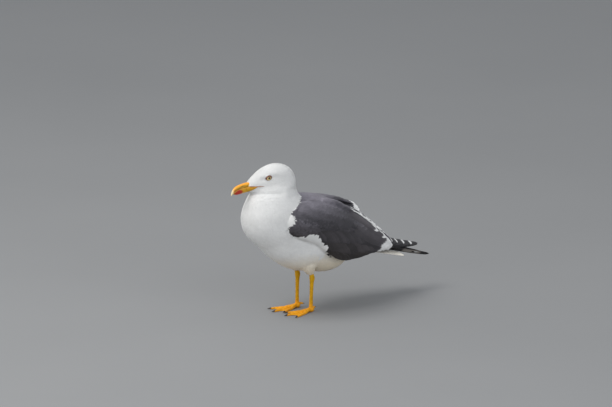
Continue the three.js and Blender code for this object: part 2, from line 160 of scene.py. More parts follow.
def soft_light(name, place, watts, size, tint):
    lamp = bpy.data.lights.new(name, "AREA")
    lamp.energy, lamp.size, lamp.color = watts, size, tint
    made = placed(name, lamp)
    made.location = Vector(place)
    made.rotation_euler = (made.location - VIEW_AT).to_track_quat("Z", "Y").to_euler()


soft_light("key_light", (-0.45, -1.95, 3.15), 88, 1.9, (1.0, 0.985, 0.96))
soft_light("fill_light", (3.0, -0.6, 1.6), 26, 2.6, (0.95, 0.97, 1.0))
soft_light("low_light", (0.7, -3.0, 0.45), 13, 1.6, (1.0, 0.98, 0.94))
sky = bpy.data.worlds.new("even_sky")
sky.use_nodes = True
even = sky.node_tree.nodes["Background"].inputs
even["Color"].default_value, even["Strength"].default_value = (0.93, 0.96, 1.0, 1), 0.66
bpy.context.scene.world = sky
bpy.context.scene.view_settings.view_transform = "Standard"

# ---- Skin ---------------------------------------------------------------------------------------
# One skin covers the bird's flesh from the bill to the tail coverts, with its folded wings, shoulder
# lobes and thighs. It is drawn as egg forms that melt into each other, a feather's depth inside them.
# Sizes are in millimetres: x to the bird's left, -y the way it faces, z up from the floor.

DRAWING_MIDDLE = 66.4708  # the drawing's zero lies this far from the middle of the bird's length
MELT = 6.0
HEAD_TURN, NECK_PIVOT = -9.0, -62.0
TRUNK_FORMS = (  # middle (y, z), half sizes and droop of each form
    (-74, 194, (57, 70, 60), 6),
    (-82, 230, (37, 47, 36), 0),
    (-42, 158, (53, 66, 57), 16),
    (-4, 134, (52, 72, 54), 6),
    (46, 114, (42, 60, 44), 4),
    (16, 184, (50, 90, 48), 18),
    (82, 148, (34, 60, 34), 31),
    (122, 108, (20, 42, 12), 14),
)
HEAD_FORMS = (
    (-67, 272, (22.5, 38, 31), 0),
    (-93, 276, (14, 31, 19), -24),
    (-107, 265, (9.5, 25, 11), -12),
    (-63, 244, (31, 38, 24), 0),
    (-114.5, 267.5, (8, 15, 6), -10),  # the feathered brow that runs out over the bill's base
)
EYE_RADIUS, EYE_PLACE = 6.2, (15.2, -94.6, 280.4)
BILL_ROOT = np.array([0, -128, 264])
FACE_COAT, BODY_COAT = 1.2, 2.8  # the depth of the coat on the face and on the body
WING_SECTIONS = np.array([  # y, upper edge out and up, lower edge out and up, swell, thickness
    [-84, 51, 200, 52, 190, 1, 4],
    [-78, 50, 211, 55, 180, 4, 9],
    [-64, 46, 221, 57, 168, 8, 12],
    [-40, 39, 227, 58, 157, 12, 13],
    [-8, 33, 228, 58, 143, 15, 13],
    [22, 29, 221, 57, 117, 18, 12],
    [52, 24, 212, 54, 100, 20, 10],
    [88, 12, 197, 50, 97, 20, 8],
    [120, 4, 182, 45, 98, 17, 6],
    [150, 3, 163, 40, 98, 13, 4],
    [180, 6, 140, 35, 98, 8, 3.2],
    [196, 10, 126, 30, 101, 4, 2.6],
    [203, 15, 116, 25, 106, 2, 1.6],
], float)
SHOULDER_LOBES = {  # place, half width and half depth: the wind has lifted the right one
    1: [[24, 22, 221, 9, 5], [22, 56, 211, 13, 6], [18, 88, 194, 12, 5], [14, 112, 181, 4, 1.6]],
    -1: [[24, 22, 221, 9, 5], [24, 62, 213, 13, 6], [24, 106, 201, 13, 4.5], [23, 146, 186, 5, 1.4]],
}
THIGH = ((26, -10, 112, 16, 20), (25, -7, 96, 14, 17), (23, -3, 83, 9, 11), (23, -1, 76, 5.6, 6.4))
SIDES = {"left": 1, "right": -1}


def smooth_step(low, high, value):
    t = np.clip((value - low) / (high - low), 0, 1)
    return t * t * (3 - 2 * t)


def unit(ways):
    return ways / np.maximum(np.linalg.norm(ways, axis=-1, keepdims=True), 1e-9)


def turned(places, degrees):
    """Places turned about the upright line that the head turns on."""
    c, s = math.cos(math.radians(degrees)), math.sin(math.radians(degrees))
    x, y = places[..., 0], places[..., 1] - NECK_PIVOT
    return np.stack([x * c - y * s, x * s + y * c + NECK_PIVOT, places[..., 2]], -1)


def on_face(places, mirrored=False):
    """Places on the head before it turned; mirrored brings its right side onto the left one."""
    face = turned(places, -HEAD_TURN)
    if mirrored:
        face[:, 0] = np.abs(face[:, 0])
    return face


def on_head(side, places):
    """Places drawn on the left of the head before it turned, brought to one side of the turned head."""
    return turned(np.array(places, float) * (side, 1, 1), HEAD_TURN)


def outside_form(places, y, z, half, droop):
    away = places - np.array([0, y, z])
    c, s = math.cos(math.radians(droop)), math.sin(math.radians(droop))
    q = np.stack([away[:, 0], away[:, 1] * c - away[:, 2] * s, away[:, 1] * s + away[:, 2] * c], 1) / half
    depth = np.linalg.norm(q, axis=1)
    return depth * (depth - 1) / np.maximum(np.linalg.norm(q / np.array(half), axis=1), 1e-9)


def outside_body(places):
    """How far places are outside the melted forms, in millimetres near their surface."""
    face = on_face(places)
    far = np.stack([outside_form(places, *form) for form in TRUNK_FORMS]
                   + [outside_form(face, *form) for form in HEAD_FORMS])
    least = far.min(0)
    return least - MELT * np.log(np.exp(-(far - least) / MELT).sum(0))


def near_line(places, ends):
    """How far places are from a line of points, and how far along it the nearest point is, 0 to 1."""
    line = np.array(ends, float)
    lengths = np.r_[0, np.cumsum(np.linalg.norm(np.diff(line, axis=0), axis=1))]
    best, share = np.full(len(places), 1e9), np.zeros(len(places))
    for k in range(len(line) - 1):
        step = line[k + 1] - line[k]
        t = np.clip(((places - line[k]) @ step) / (step @ step), 0, 1)
        far = np.linalg.norm(places - line[k] - t[:, None] * step, axis=1)
        closer = far < best
        best[closer] = far[closer]
        share[closer] = ((lengths[k] + t * np.linalg.norm(step)) / lengths[-1])[closer]
    return best, share


def coat_depth(places):
    from_bill = np.linalg.norm(on_face(places) - BILL_ROOT, axis=1)
    return FACE_COAT + (BODY_COAT - FACE_COAT) * smooth_step(22, 130, from_bill)


def nape_share(face):
    """1 on the ruffled back of the neck, 0 elsewhere."""
    _, y, z = face.T
    return smooth_step(-66, -46, y) * smooth_step(288, 272, z) * smooth_step(253, 266, z)


def fold_along(face, line, deep, wide):
    """The depth of a soft fold along a line on the face, and how far along it each place is."""
    far, t = near_line(face, line)
    return deep * np.exp(-((far / wide) ** 2)), t


def face_folds(places):
    """How deep the folds of face, throat and nape go. The brow and the nape stand up instead."""
    face = on_face(places, True)
    _, y, z = face.T
    eye_line = [(6, -121, 272), (15, -106, 277.5), (20.5, -94.6, 280), (22, -80, 281.5), (22, -66, 282)]
    hollow, t = fold_along(face, eye_line, 1.1, 3.4)
    hollow = hollow * smooth_step(0, 0.15, t) * smooth_step(1, 0.7, t)
    brow, _ = fold_along(face, [(14, -108, 285), (18, -95, 288.5), (20, -80, 288)], -0.9, 4.5)
    chin_line = [(0, -129, 250), (16, -121, 249), (27, -104, 249), (34, -84, 250), (36, -62, 252)]
    chin, t = fold_along(face, chin_line, 2.3, 5.5)
    chin = chin * smooth_step(1, 0.75, t)
    gape, t = fold_along(face, [(5, -124, 265), (9, -116, 265), (12.6, -108, 265.2)], 0.7, 1.5)
    gape = gape * smooth_step(1, 0.8, t)
    under_nape = smooth_step(-66, -46, y) * smooth_step(262, 252, z) * smooth_step(230, 243, z)
    return hollow + brow + chin + gape - 0.8 * nape_share(face) + 1.8 * under_nape


def skin_level(places):
    """Where the skin lies: 0 on it, with a round socket for each eye."""
    socket = EYE_RADIUS + 0.2 - np.linalg.norm(on_face(places, True) - np.array(EYE_PLACE), axis=1)
    return np.maximum(outside_body(places) + coat_depth(places) + face_folds(places), socket)


def settle_on(level, places):
    """Places moved step by step to where the level is 0."""
    for _ in range(5):
        far = level(places)
        rise = np.stack([(level(places + d) - level(places - d)) / 0.8 for d in np.eye(3) * 0.4], 1)
        places = places - rise * (far / np.maximum((rise**2).sum(1), 0.05))[:, None].clip(-6, 6)
    return places


def between(stations, at):
    """Values between stations, each a list whose first number is its place along the line."""
    stations = np.asarray(stations, float)
    at = np.asarray(at, float)
    last = len(stations) - 1
    i = np.clip(np.searchsorted(stations[:, 0], at, side="left"), 1, last)
    p0, p1, p2, p3 = (stations[np.clip(i + k, 0, last)] for k in (-2, -1, 0, 1))
    step = (p2[:, 0] - p1[:, 0])[:, None]
    t = np.clip((at - p1[:, 0])[:, None] / step, 0, 1)

    def slope(a, b):
        gap = (b[:, 0] - a[:, 0])[:, None]
        return (b - a) / np.where(gap == 0, 1, gap) * step

    m1, m2 = slope(p0, p2), slope(p1, p3)
    return ((2 * t**3 - 3 * t**2 + 1) * p1 + (t**3 - 2 * t**2 + t) * m1
            + (3 * t**2 - 2 * t**3) * p2 + (t**3 - t**2) * m2)


def signed_power(value, power):
    return np.sign(value) * np.abs(value) ** power


def wing_section(y):
    """The folded wing's section at y: its middle, the way down it, half its height, swell, thickness."""
    _, up_out, up, low_out, low, swell, thick = between(WING_SECTIONS, y).T
    down = np.stack([low_out - up_out, low - up], 1)
    return (up_out + low_out) / 2, (up + low) / 2, unit(down), np.linalg.norm(down, axis=1) / 2, swell, thick


def wing_place(side, y, angle, grow):
    """A place on the folded wing's section at y, angle round it from its lower edge, outer side first."""
    out, middle, down, half, swell, thick = wing_section(y)
    along, across = np.cos(angle), signed_power(np.sin(angle), 0.7)
    depth = np.maximum(thick / 2 * np.where(across < 0, 3, 1) + grow, 0.7)
    bulge = swell * (1 - along**2) + across * depth
    chord = along * (half + grow)
    return np.stack([side * (out + down[:, 0] * chord - down[:, 1] * bulge), y,
                     middle + down[:, 1] * chord + down[:, 0] * bulge], 1)


def limb_place(stations, t, angle, grow):
    """A place on a limb: stations give its middle, half width and half depth, t runs 0 to 1 along it."""
    table = np.c_[np.linspace(0, 1, len(stations)), np.asarray(stations, float)]
    mid, after, before = (between(table, at) for at in (t, np.minimum(t + 0.01, 1), np.maximum(t - 0.01, 0)))
    ahead = unit(after[:, 1:4] - before[:, 1:4])
    across = unit(np.array([1.0, 0, 0]) - ahead * ahead[:, :1])
    return (mid[:, 1:4] + across * (np.cos(angle) * (mid[:, 4] + grow))[:, None]
            + np.cross(ahead, across) * (np.sin(angle) * (mid[:, 5] + grow))[:, None])


def tube(around, along, place):
    """A closed tube: a grid rolled up by place(t, angle), its seam merged and its two ends filled."""
    bm = bmesh.new()
    bmesh.ops.create_grid(bm, x_segments=around, y_segments=along, size=0.5)
    flat = np.array([v.co[:2] for v in bm.verts]) + 0.5
    for vert, spot in zip(bm.verts, place(flat[:, 1], flat[:, 0] * 2 * math.pi)):
        vert.co = spot
    bmesh.ops.remove_doubles(bm, verts=bm.verts, dist=1e-3)
    bmesh.ops.holes_fill(bm, edges=[e for e in bm.edges if e.is_boundary], sides=0)
    bmesh.ops.recalc_face_normals(bm, faces=bm.faces)
    return bm


def limb(around, along, stations, grow=0.0):
    return tube(around, along, lambda t, angle: limb_place(stations, t, angle, grow))


def sided(side, stations):
    """Stations drawn on the left, brought to the given side."""
    return [[side * out, *rest] for out, *rest in stations]


def piece_of(name, bms):
    """One object from several meshes, which are used up."""
    mesh = bpy.data.meshes.new(name)
    whole = bmesh.new()
    for bm in bms:
        bm.to_mesh(mesh)
        bm.free()
        whole.from_mesh(mesh)
    whole.to_mesh(mesh)
    whole.free()
    return placed(name, mesh)


def remeshed(piece, voxel, smoothing):
    """The piece as one closed surface of even small faces, smoothed."""
    modifier = piece.modifiers.new("one_surface", "REMESH")
    modifier.mode, modifier.voxel_size = "VOXEL", voxel
    relax = piece.modifiers.new("relax", "SMOOTH")
    relax.factor, relax.iterations = 0.5, smoothing
    made = bpy.data.meshes.new_from_object(piece.evaluated_get(bpy.context.evaluated_depsgraph_get()))
    old = piece.data
    piece.modifiers.clear()
    piece.data = made
    bpy.data.meshes.remove(old)
    return piece


def spots_of(mesh):
    spots = np.empty(len(mesh.vertices) * 3, np.float32)
    mesh.vertices.foreach_get("co", spots)
    return spots.reshape(-1, 3).astype(float)


def set_spots(mesh, spots):
    mesh.vertices.foreach_set("co", spots.astype(np.float32).ravel())


def place_piece(piece, material, nodes):
    """The drawn piece in metres at its place, finished, riding on the bird and standing for its solids."""
    piece.data.materials.clear()
    piece.data.materials.append(material)
    set_spots(piece.data, (spots_of(piece.data) - (0, DRAWING_MIDDLE, 0)) / 1000)
    piece.data.polygons.foreach_set("use_smooth", np.ones(len(piece.data.polygons), bool))
    piece.data.update()
    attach(piece, "root")
    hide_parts(*nodes)
    return piece


flesh = []
to_pivot, from_pivot = (Matrix.Translation((0, way * NECK_PIVOT, 0)) for way in (-1, 1))
for forms, degrees in ((TRUNK_FORMS, 0), (HEAD_FORMS, HEAD_TURN)):
    turn = from_pivot @ Matrix.Rotation(math.radians(degrees), 4, "Z") @ to_pivot
    for y, z, half, droop in forms:
        lay = turn @ Matrix.Translation((0, y, z)) @ Matrix.Rotation(math.radians(-droop), 4, "X")
        bm = bmesh.new()
        bmesh.ops.create_icosphere(bm, subdivisions=4, radius=0.99, matrix=lay @ Matrix.Diagonal((*half, 1)))
        flesh.append(bm)
skin = remeshed(piece_of("skin", flesh), voxel=3.0, smoothing=2)
set_spots(skin.data, settle_on(lambda p: outside_body(p) + coat_depth(p), spots_of(skin.data)))
parts = [bmesh.new()]
parts[0].from_mesh(skin.data)
bpy.data.objects.remove(skin)
for side in (1, -1):
    first, last = WING_SECTIONS[0, 0] + 1, WING_SECTIONS[-1, 0] - 1
    parts.append(tube(64, 90, lambda t, a: wing_place(side, first + (last - first) * t, a, -1.6)))
    parts.append(limb(28, 44, sided(side, SHOULDER_LOBES[side]), grow=-1.2))
    parts.append(limb(28, 24, sided(side, THIGH), grow=-1.6))
skin = remeshed(piece_of("skin", parts), voxel=2.2, smoothing=4)

bm = bmesh.new()
bm.from_mesh(skin.data)
eyes = [Vector(on_head(side, [EYE_PLACE])[0]) for side in (1, -1)]
for reach in (26, 12):  # finer faces round the eyes
    close = [f for f in bm.faces if min((f.calc_center_median() - eye).length for eye in eyes) < reach]
    bmesh.ops.subdivide_edges(bm, edges=list({e for f in close for e in f.edges}), cuts=1, use_grid_fill=True)
bm.to_mesh(skin.data)
bm.free()
spots = spots_of(skin.data)
on_forms = np.abs(outside_body(spots) + coat_depth(spots)) < 1.6
spots[on_forms] = settle_on(skin_level, spots[on_forms])
set_spots(skin.data, spots)
skin.data.update()

# The skin is unwrapped on its own shape, so that each feather can find its root's place on it.
bpy.context.view_layer.objects.active = skin
skin.select_set(True)
bpy.ops.object.mode_set(mode="EDIT")
bpy.ops.mesh.select_all(action="SELECT")
bpy.ops.uv.smart_project(angle_limit=math.radians(66), island_margin=0.004)
bpy.ops.object.mode_set(mode="OBJECT")
skin.data.uv_layers[0].name = "skin_unwrap"
bm = bmesh.new()
bm.from_mesh(skin.data)
bmesh.ops.triangulate(bm, faces=bm.faces)
unwrap = bm.loops.layers.uv[0]
skin_faces = np.array([[v.co[:] for v in f.verts] for f in bm.faces])
skin_unwrap = np.array([[loop[unwrap].uv[:] for loop in f.loops] for f in bm.faces])
skin_tree = BVHTree.FromBMesh(bm)
skin_spots = np.array([v.co[:] for v in bm.verts])
bm.free()

# How far every place near the skin is from it, on a grid of small cells.
CELL, REACH = 2.5, 6  # millimetres and cells
FAR_OFF = 14  # vanes farther than this from the skin hang free of it
cell_low = skin_spots.min(0) - CELL * (REACH + 2)
cell_count = np.ceil((skin_spots.max(0) - cell_low) / CELL).astype(int) + REACH + 3
near_skin = np.zeros(cell_count, bool)
near_skin[tuple(np.round((skin_spots - cell_low) / CELL).astype(int).T)] = True
for axis in range(3):
    spread = near_skin.copy()
    for shift in range(1, REACH + 1):
        spread |= np.roll(near_skin, shift, axis) | np.roll(near_skin, -shift, axis)
    near_skin = spread
skin_far = np.full(cell_count, 99.0)
for cell in np.argwhere(near_skin):
    here = Vector(cell_low + cell * CELL)
    spot, normal, _, far = skin_tree.find_nearest(here)
    skin_far[tuple(cell)] = far if (here - spot).dot(normal) > 0 else -far


def far_from_skin(places):
    at = (places - cell_low) / CELL
    base = np.clip(np.floor(at).astype(int), 0, cell_count - 2)
    share = np.clip(at - base, 0, 1)
    total = 0
    for corner in np.ndindex(2, 2, 2):
        weight = np.prod(np.where(corner, share, 1 - share), axis=1)
        total = total + weight * skin_far[tuple((base + corner).T)]
    return total


def off_skin(places):
    """The way straight out from the skin at each place."""
    return unit(np.stack([far_from_skin(places + d) - far_from_skin(places - d) for d in np.eye(3) * 1.8], 1))


def laid_at(places, height):
    """The places moved straight in or out to lie at a height over the skin; those far off it stay."""
    for _ in range(2):
        far = far_from_skin(places)
        move = np.where(np.abs(far) < FAR_OFF, far - height, 0)
        places = places - off_skin(places) * move[:, None]
    return places


# The markings, the same for skin and coat: white, with a slate back and wings, and a belly painted warmer
# with painted warm reflected light.
WHITE = np.array([0.80, 0.80, 0.79])
# Painted light: the warm cream low on the belly is warm reflected light painted into the white.
REFLECTED_WARM_LIGHT = np.array([0.80, 0.71, 0.55])
SLATE = np.array([0.098, 0.092, 0.108])
# DUSK is painted shade: the lower coverts face down, away from the light, and are painted darker and browner
# than the slate.
DUSK = np.array([0.040, 0.034, 0.033])  # the wing's lower coverts
BLACK = np.array([0.010, 0.009, 0.011])
RIM = np.array([0.30, 0.28, 0.29])  # the worn edges of slate feathers


def wing_share(places):
    """1 on the folded wing's outer face, 0 off it."""
    y = np.clip(places[:, 1], WING_SECTIONS[0, 0], WING_SECTIONS[-1, 0])
    centre, middle, down, half, swell, thick = wing_section(y)
    x, z = np.sign(places[:, 0]) * places[:, 0] - centre, places[:, 2] - middle
    along = (x * down[:, 0] + z * down[:, 1]) / half
    out = -x * down[:, 1] + z * down[:, 0]
    face = swell * (1 - np.clip(along, -1, 1) ** 2) + thick / 2
    inside = (np.abs(along) < 1.03) & (out > face - thick - 3) & (np.abs(places[:, 1] - y) < 2)
    return inside.astype(float)


def mantle_share(places):
    """1 on the slate saddle of the back, 0 on the white of neck, breast and flanks."""
    x, y, z = places.T
    edge = -26 - 1.62 * np.clip(243 - z, -10, 40) + 2.2 * np.sin(x * 0.35) + 1.5 * np.sin(z * 0.9)
    top = np.minimum(between(WING_SECTIONS, np.clip(y, -84, 203))[:, 2] - 14, 212)
    return smooth_step(-1.5, 1.5, y - edge) * smooth_step(-3, 3, z - top) * smooth_step(150, 140, y)


WING_FRONT = np.array([  # z and y of the edge where the breast laps over the wing
    (160, -95), (187, -88), (194, -80), (200, -70), (208, -71), (219, -76), (224, -80), (230, -120),
], float)


def slate_share(places):
    """1 on back and wings, 0 on the white parts and where the breast laps over the wing's front."""
    behind = smooth_step(-2.5, 2.5, places[:, 1] - np.interp(places[:, 2], *WING_FRONT.T))
    return np.maximum(mantle_share(places), wing_share(places)) * behind


def white_at(places):
    """White plumage, a little greyer above, and turning to a cream low on the belly where warm reflected
    light is painted in.
    """
    warm = (smooth_step(140, 84, places[:, 2]) * 0.95)[:, None]
    return (WHITE * (1 - warm) + REFLECTED_WARM_LIGHT * warm) * (1 - 0.12 * smooth_step(185, 215, places[:, 2]))[:, None]


def plumage_at(places):
    """The colour of the plumage at each place."""
    slate = slate_share(places)[:, None]
    return white_at(places) * (1 - slate) + SLATE * slate


def set_colour(mesh, colours, name="plumage"):
    layer = mesh.attributes.new(name, "FLOAT_COLOR", "POINT")
    layer.data.foreach_set("color", np.c_[colours, np.ones(len(colours))].astype(np.float32).ravel())


def own_colour(tree, name):
    return wire(tree, "Attribute", attribute_name=name).outputs["Color"]


def plumage(name, roughness, barbs, mottle, **sockets):
    """Feathers: each piece's own colours, with barbs drawn slantwise from the shaft and soft mottling."""
    made, tree, shader = finish(name, roughness, **sockets)
    vane = wire(tree, "SeparateXYZ", {0: wire(tree, "UVMap", uv_map="vane").outputs["UV"]})
    side = maths(tree, "ABSOLUTE", maths(tree, "SUBTRACT", vane.outputs["X"], 0.5))
    along = maths(tree, "MULTIPLY", vane.outputs["Y"], barbs)
    slant = maths(tree, "MULTIPLY_ADD", side, -barbs * 0.7, along)
    comb = maths(tree, "SINE", maths(tree, "MULTIPLY", slant, math.tau))
    place = object_place(tree)
    patchy = noise(tree, stretched(tree, place, (1.0, 0.4, 1.0), (-0.45, 0.0, 0.0)), 75.0, 4.0, 0.6)
    fine = noise(tree, place, 900.0, 2.0)
    tone = ranged(tree, patchy, 0.3, 0.7, 1 - mottle, 1 + mottle * 0.6)
    lined = maths(tree, "MULTIPLY_ADD", comb, 0.035, tone)
    total = maths(tree, "MULTIPLY", lined, ranged(tree, side, 0.0, 0.035, 0.93, 1.0))
    relief = maths(tree, "MULTIPLY_ADD", comb, 0.35, fine)
    shade_colour(tree, shader, toned(tree, own_colour(tree, "plumage"), total), relief,
                 strength=0.25, depth=0.0003)
    return made


BARE_EDGE = ((-131, -125, -119.5), (255.5, 259.6, 264.2))  # y and z of the low edge of the bare wedge


def bare_base(places):
    """The bare wedge of horny skin behind the lower half of the bill, under the gape."""
    _, y, z = on_face(places).T
    return (y < BARE_EDGE[0][-1]) & (z > np.interp(y, *BARE_EDGE)) & (z < 265.8)


tints = plumage_at(spots_of(skin.data))
tints[bare_base(spots_of(skin.data))] = (0.60, 0.34, 0.008)
set_colour(skin.data, tints)
skin_finish, tree, shader = finish("skin_under_feathers", 0.85, Specular_IOR_Level=0.2)
down = noise(tree, object_place(tree), 420.0, 3.0)
colour = toned(tree, own_colour(tree, "plumage"), ranged(tree, down, 0, 1, 0.82, 1))
shade_colour(tree, shader, colour, down, strength=0.5, depth=0.0005)
place_piece(skin, skin_finish, [
    "head", "neck", "trunk", "mantle", "thigh_left", "thigh_right", "wing_left", "wing_right",
    "shoulder_feathers_left", "shoulder_feathers_right",
])

# ---- Small feathers of head, neck, body and thighs ----------------------------------------------
# Contour feathers: thin curved vanes, rooted in the skin and lying back over each other like tiles.
# They are shortest round the bill and eyes, and longest under the tail.

LIE = np.array([  # where along the body (y, z), and which way the feathers there point (y, z)
    [-128, 268, 1, 0.15], [-112, 285, 1, 0.35], [-88, 300, 1, 0.1], [-62, 300, 1, -0.5],
    [-38, 282, 0.5, -1], [-112, 262, 1, -0.15], [-90, 265, 1, -0.25], [-65, 262, 0.8, -0.7],
    [-118, 244, 0.45, -1], [-38, 250, 0.6, -0.9], [-130, 215, 0.1, -1], [-95, 215, 0.45, -1],
    [-60, 215, 0.8, -0.7], [-10, 225, 1, -0.25], [-130, 180, 0.35, -1], [-95, 150, 0.75, -0.8],
    [-60, 120, 1, -0.35], [-55, 170, 0.9, -0.6], [0, 85, 1, 0.05], [0, 140, 1, -0.3],
    [50, 205, 1, -0.35], [50, 80, 1, 0.15], [60, 140, 1, -0.4], [110, 165, 1, -0.55],
    [110, 100, 1, 0.0], [150, 100, 1, -0.2],
])


def body_lie(places):
    weight = np.exp(-((places[:, None, 1:] - LIE[None, :, :2]) ** 2).sum(2) / (2 * 20.0**2)) + 1e-12
    ways = np.zeros_like(places)
    ways[:, 1:] = weight @ unit(LIE[:, 2:]) / weight.sum(1, keepdims=True)
    return unit(ways)


def wing_lie(places):
    fall = 0.85 - 0.4 * smooth_step(-80, 120, places[:, 1])
    return unit(np.stack([np.zeros(len(places)), np.ones(len(places)), -fall], 1))


def thigh_lie(places):
    return np.broadcast_to(unit(np.array([0, 0.25, -1])), places.shape)


def scattered(allowed, spacing, crowd, seed):
    """Even random places on the skin, crowd tries to the square millimetre, kept the spacing apart."""
    chance = np.random.default_rng(seed)
    a, b, c = skin_faces[:, 0], skin_faces[:, 1], skin_faces[:, 2]
    size = np.linalg.norm(np.cross(b - a, c - a), axis=1) / 2
    size = np.where(allowed((a + b + c) / 3), size, 0)
    face = chance.choice(len(size), int(size.sum() * crowd), p=size / size.sum())
    u, v = chance.random((2, len(face), 1))
    flip = u + v > 1
    u, v = np.where(flip, 1 - u, u), np.where(flip, 1 - v, v)
    spots = a[face] + (b - a)[face] * u + (c - a)[face] * v
    spots = spots[allowed(spots)]
    gaps = np.broadcast_to(spacing(spots) if callable(spacing) else spacing, len(spots))
    box = gaps.max()
    taken, kept = {}, []
    for k, (spot, gap) in enumerate(zip(spots.tolist(), gaps.tolist())):
        x, y, z = (int(value // box) for value in spot)
        if any(math.dist(spot, other) < gap
               for i in (x - 1, x, x + 1) for j in (y - 1, y, y + 1) for l in (z - 1, z, z + 1)
               for other in taken.get((i, j, l), ())):
            continue
        taken.setdefault((x, y, z), []).append(spot)
        kept.append(k)
    return spots[kept]


ROUNDED = ([0, 0.12, 0.45, 0.78, 0.93, 1], [0.3, 0.7, 1, 0.86, 0.58, 0.14])  # half width along a vane


def blades_of(spots, share, cross, paint, roots, bake):
    """A group of feathers from grids of spots, of which share runs along each and cross over it."""
    count, rows, columns = len(spots), len(share) - 1, len(cross)
    first = (np.arange(count)[:, None, None] * (rows + 1) + np.arange(rows)[:, None]) * columns
    first = first + np.arange(columns - 1)
    faces = np.stack([first, first + columns, first + columns + 1, first + 1], -1).reshape(-1, 4)
    v, c = np.broadcast_to(share[None, :, None], spots.shape[:3]), np.broadcast_to(cross, spots.shape[:3])
    vane = np.stack([(c + 1) / 2, v], -1)
    return {"spots": spots.reshape(-1, 3), "faces": faces, "vane": vane.reshape(-1, 2),
            "bake": bake(v, c).reshape(-1, 2), "colour": paint(roots, v, c).reshape(-1, 3)}


def unwrapped(root):
    """The place that the skin's own unwrap gives to a feather's root."""
    spot, _, face, _ = skin_tree.find_nearest(Vector(root))
    (a, b, d), uv = skin_faces[face], skin_unwrap[face]
    m = np.stack([b - a, d - a], 1)
    s, t = np.linalg.solve(m.T @ m + np.eye(2) * 1e-9, m.T @ (np.array(spot) - a))
    return uv[0] + (uv[1] - uv[0]) * s + (uv[2] - uv[0]) * t


def vanes(roots, ends, long, wide, low, high, colours, rows=4, columns=3, lie=None, cup=0.35, seed=1,
          sway=0.0, bake=0.003):
    """Feathers from roots, either to given ends or for a length along the lie of the coat.
    low and high are the heights of root and tip; colours(roots, share along, share across) paints them."""
    chance = np.random.default_rng(seed)
    count = len(roots)
    long, wide, low, high = (np.broadcast_to(value, count) for value in (long, wide, low, high))
    share, cross = np.linspace(0, 1, rows + 1), np.linspace(-1, 1, columns)
    swing = chance.normal(0, sway, count)[:, None] if sway else 0
    spine, here = [], laid_at(roots, low)
    for k, v in enumerate(share):
        if ends is not None:
            here = laid_at(roots + (ends - roots) * v, low + (high - low) * v)
        elif k:
            out = off_skin(here)
            way = lie(here)
            way = unit(way - out * (way * out).sum(1, keepdims=True))
            way = way * np.cos(swing) + np.cross(out, way) * np.sin(swing)
            here = laid_at(here + way * (long / rows)[:, None], low + (high - low) * v)
        spine.append(here)
    spine = np.stack(spine, 1)
    flat = spine.reshape(-1, 3)
    out = off_skin(flat).reshape(spine.shape)
    lost = (np.abs(far_from_skin(flat)) > FAR_OFF).reshape(spine.shape[:2])
    out = np.where(lost[..., None], out[:, :1], out)
    across = unit(np.cross(out, unit(np.gradient(spine, axis=1))))
    half = np.interp(share, *ROUNDED)[None, :] * wide[:, None] / 2
    spots = spine[:, :, None] + across[:, :, None] * (half[:, :, None] * cross)[..., None]
    height = (low[:, None] + (high - low)[:, None] * share)[:, :, None] - cup * (cross**2 - 0.5)
    laid = laid_at(spots.reshape(-1, 3), height.ravel()).reshape(spots.shape)
    spots = np.where(lost[:, :, None, None], spots, laid)
    home = np.array([unwrapped(root) for root in roots])[:, None, None]
    return blades_of(spots, share, cross, colours, roots,
                     lambda v, c: home + np.stack([c * bake / 2, (v - 0.5) * bake], -1))


def coat_piece(name, groups, coat, nodes, soft=0.0):
    """One piece of the coat from groups of feathers; soft turns their shading towards the skin's own."""
    material, slot = coat
    starts = np.cumsum([0] + [len(group["spots"]) for group in groups])
    faces = np.concatenate([group["faces"] + start for group, start in zip(groups, starts)])
    spots, vane, bake, colour = (np.concatenate([group[key] for group in groups])
                                 for key in ("spots", "vane", "bake", "colour"))
    mesh = bpy.data.meshes.new(name)
    mesh.vertices.add(len(spots))
    set_spots(mesh, spots)
    mesh.loops.add(faces.size)
    mesh.loops.foreach_set("vertex_index", faces.astype(np.int32).ravel())
    mesh.polygons.add(len(faces))
    mesh.polygons.foreach_set("loop_start", np.arange(0, faces.size, 4, dtype=np.int32))
    mesh.update(calc_edges=True)
    for label, uv in (("vane", vane), ("OFBake", bake)):
        mesh.uv_layers.new(name=label).data.foreach_set("uv", uv[faces.ravel()].astype(np.float32).ravel())
    set_colour(mesh, np.clip(colour, 0.002, 0.9))
    made = place_piece(placed(name, mesh), material, nodes)
    if soft:
        own = np.empty(len(spots) * 3, np.float32)
        mesh.vertices.foreach_get("normal", own)
        normals = unit(own.reshape(-1, 3) * (1 - soft) + off_skin(spots) * soft)
        mesh.normals_split_custom_set_from_vertices(normals)
    return made


def body_colours(roots, v, c):
    tone = np.random.default_rng(len(roots)).normal(1, 0.015, len(roots))
    return np.broadcast_to((plumage_at(roots) * tone[:, None])[:, None, None], (*v.shape, 3))


def from_eye(face, squash=1):
    return np.linalg.norm((face - np.array(EYE_PLACE)) * squash, axis=1)


def clear_of_features(places):
    """Not in the eye's ring, on the bill, on its bare base or on the bare corner of the mouth."""
    face = on_face(places, True)
    x, y, z = face.T
    gape, _ = near_line(face, [(3, -127, 265), (9, -116, 265.2), (12.6, -108, 265.2)])
    bill = (y < -128.5) & (x < 7) & (z > 252) & ((z < 265.8) | (y < -131.8))
    return (from_eye(face, (0.6, 0.92, 1.08)) > 6.1) & (gape > 0.9) & ~bill & ~bare_base(places)


def head_part(places):
    face = on_face(places)
    return face[:, 2] + 0.35 * np.maximum(face[:, 1], -95) > 218


def face_share(places):
    """0 at the bill and round the eyes, 1 on the nape."""
    face = on_face(places, True)
    return smooth_step(12, 75, np.linalg.norm(face - BILL_ROOT, axis=1)) * smooth_step(3, 26, from_eye(face))


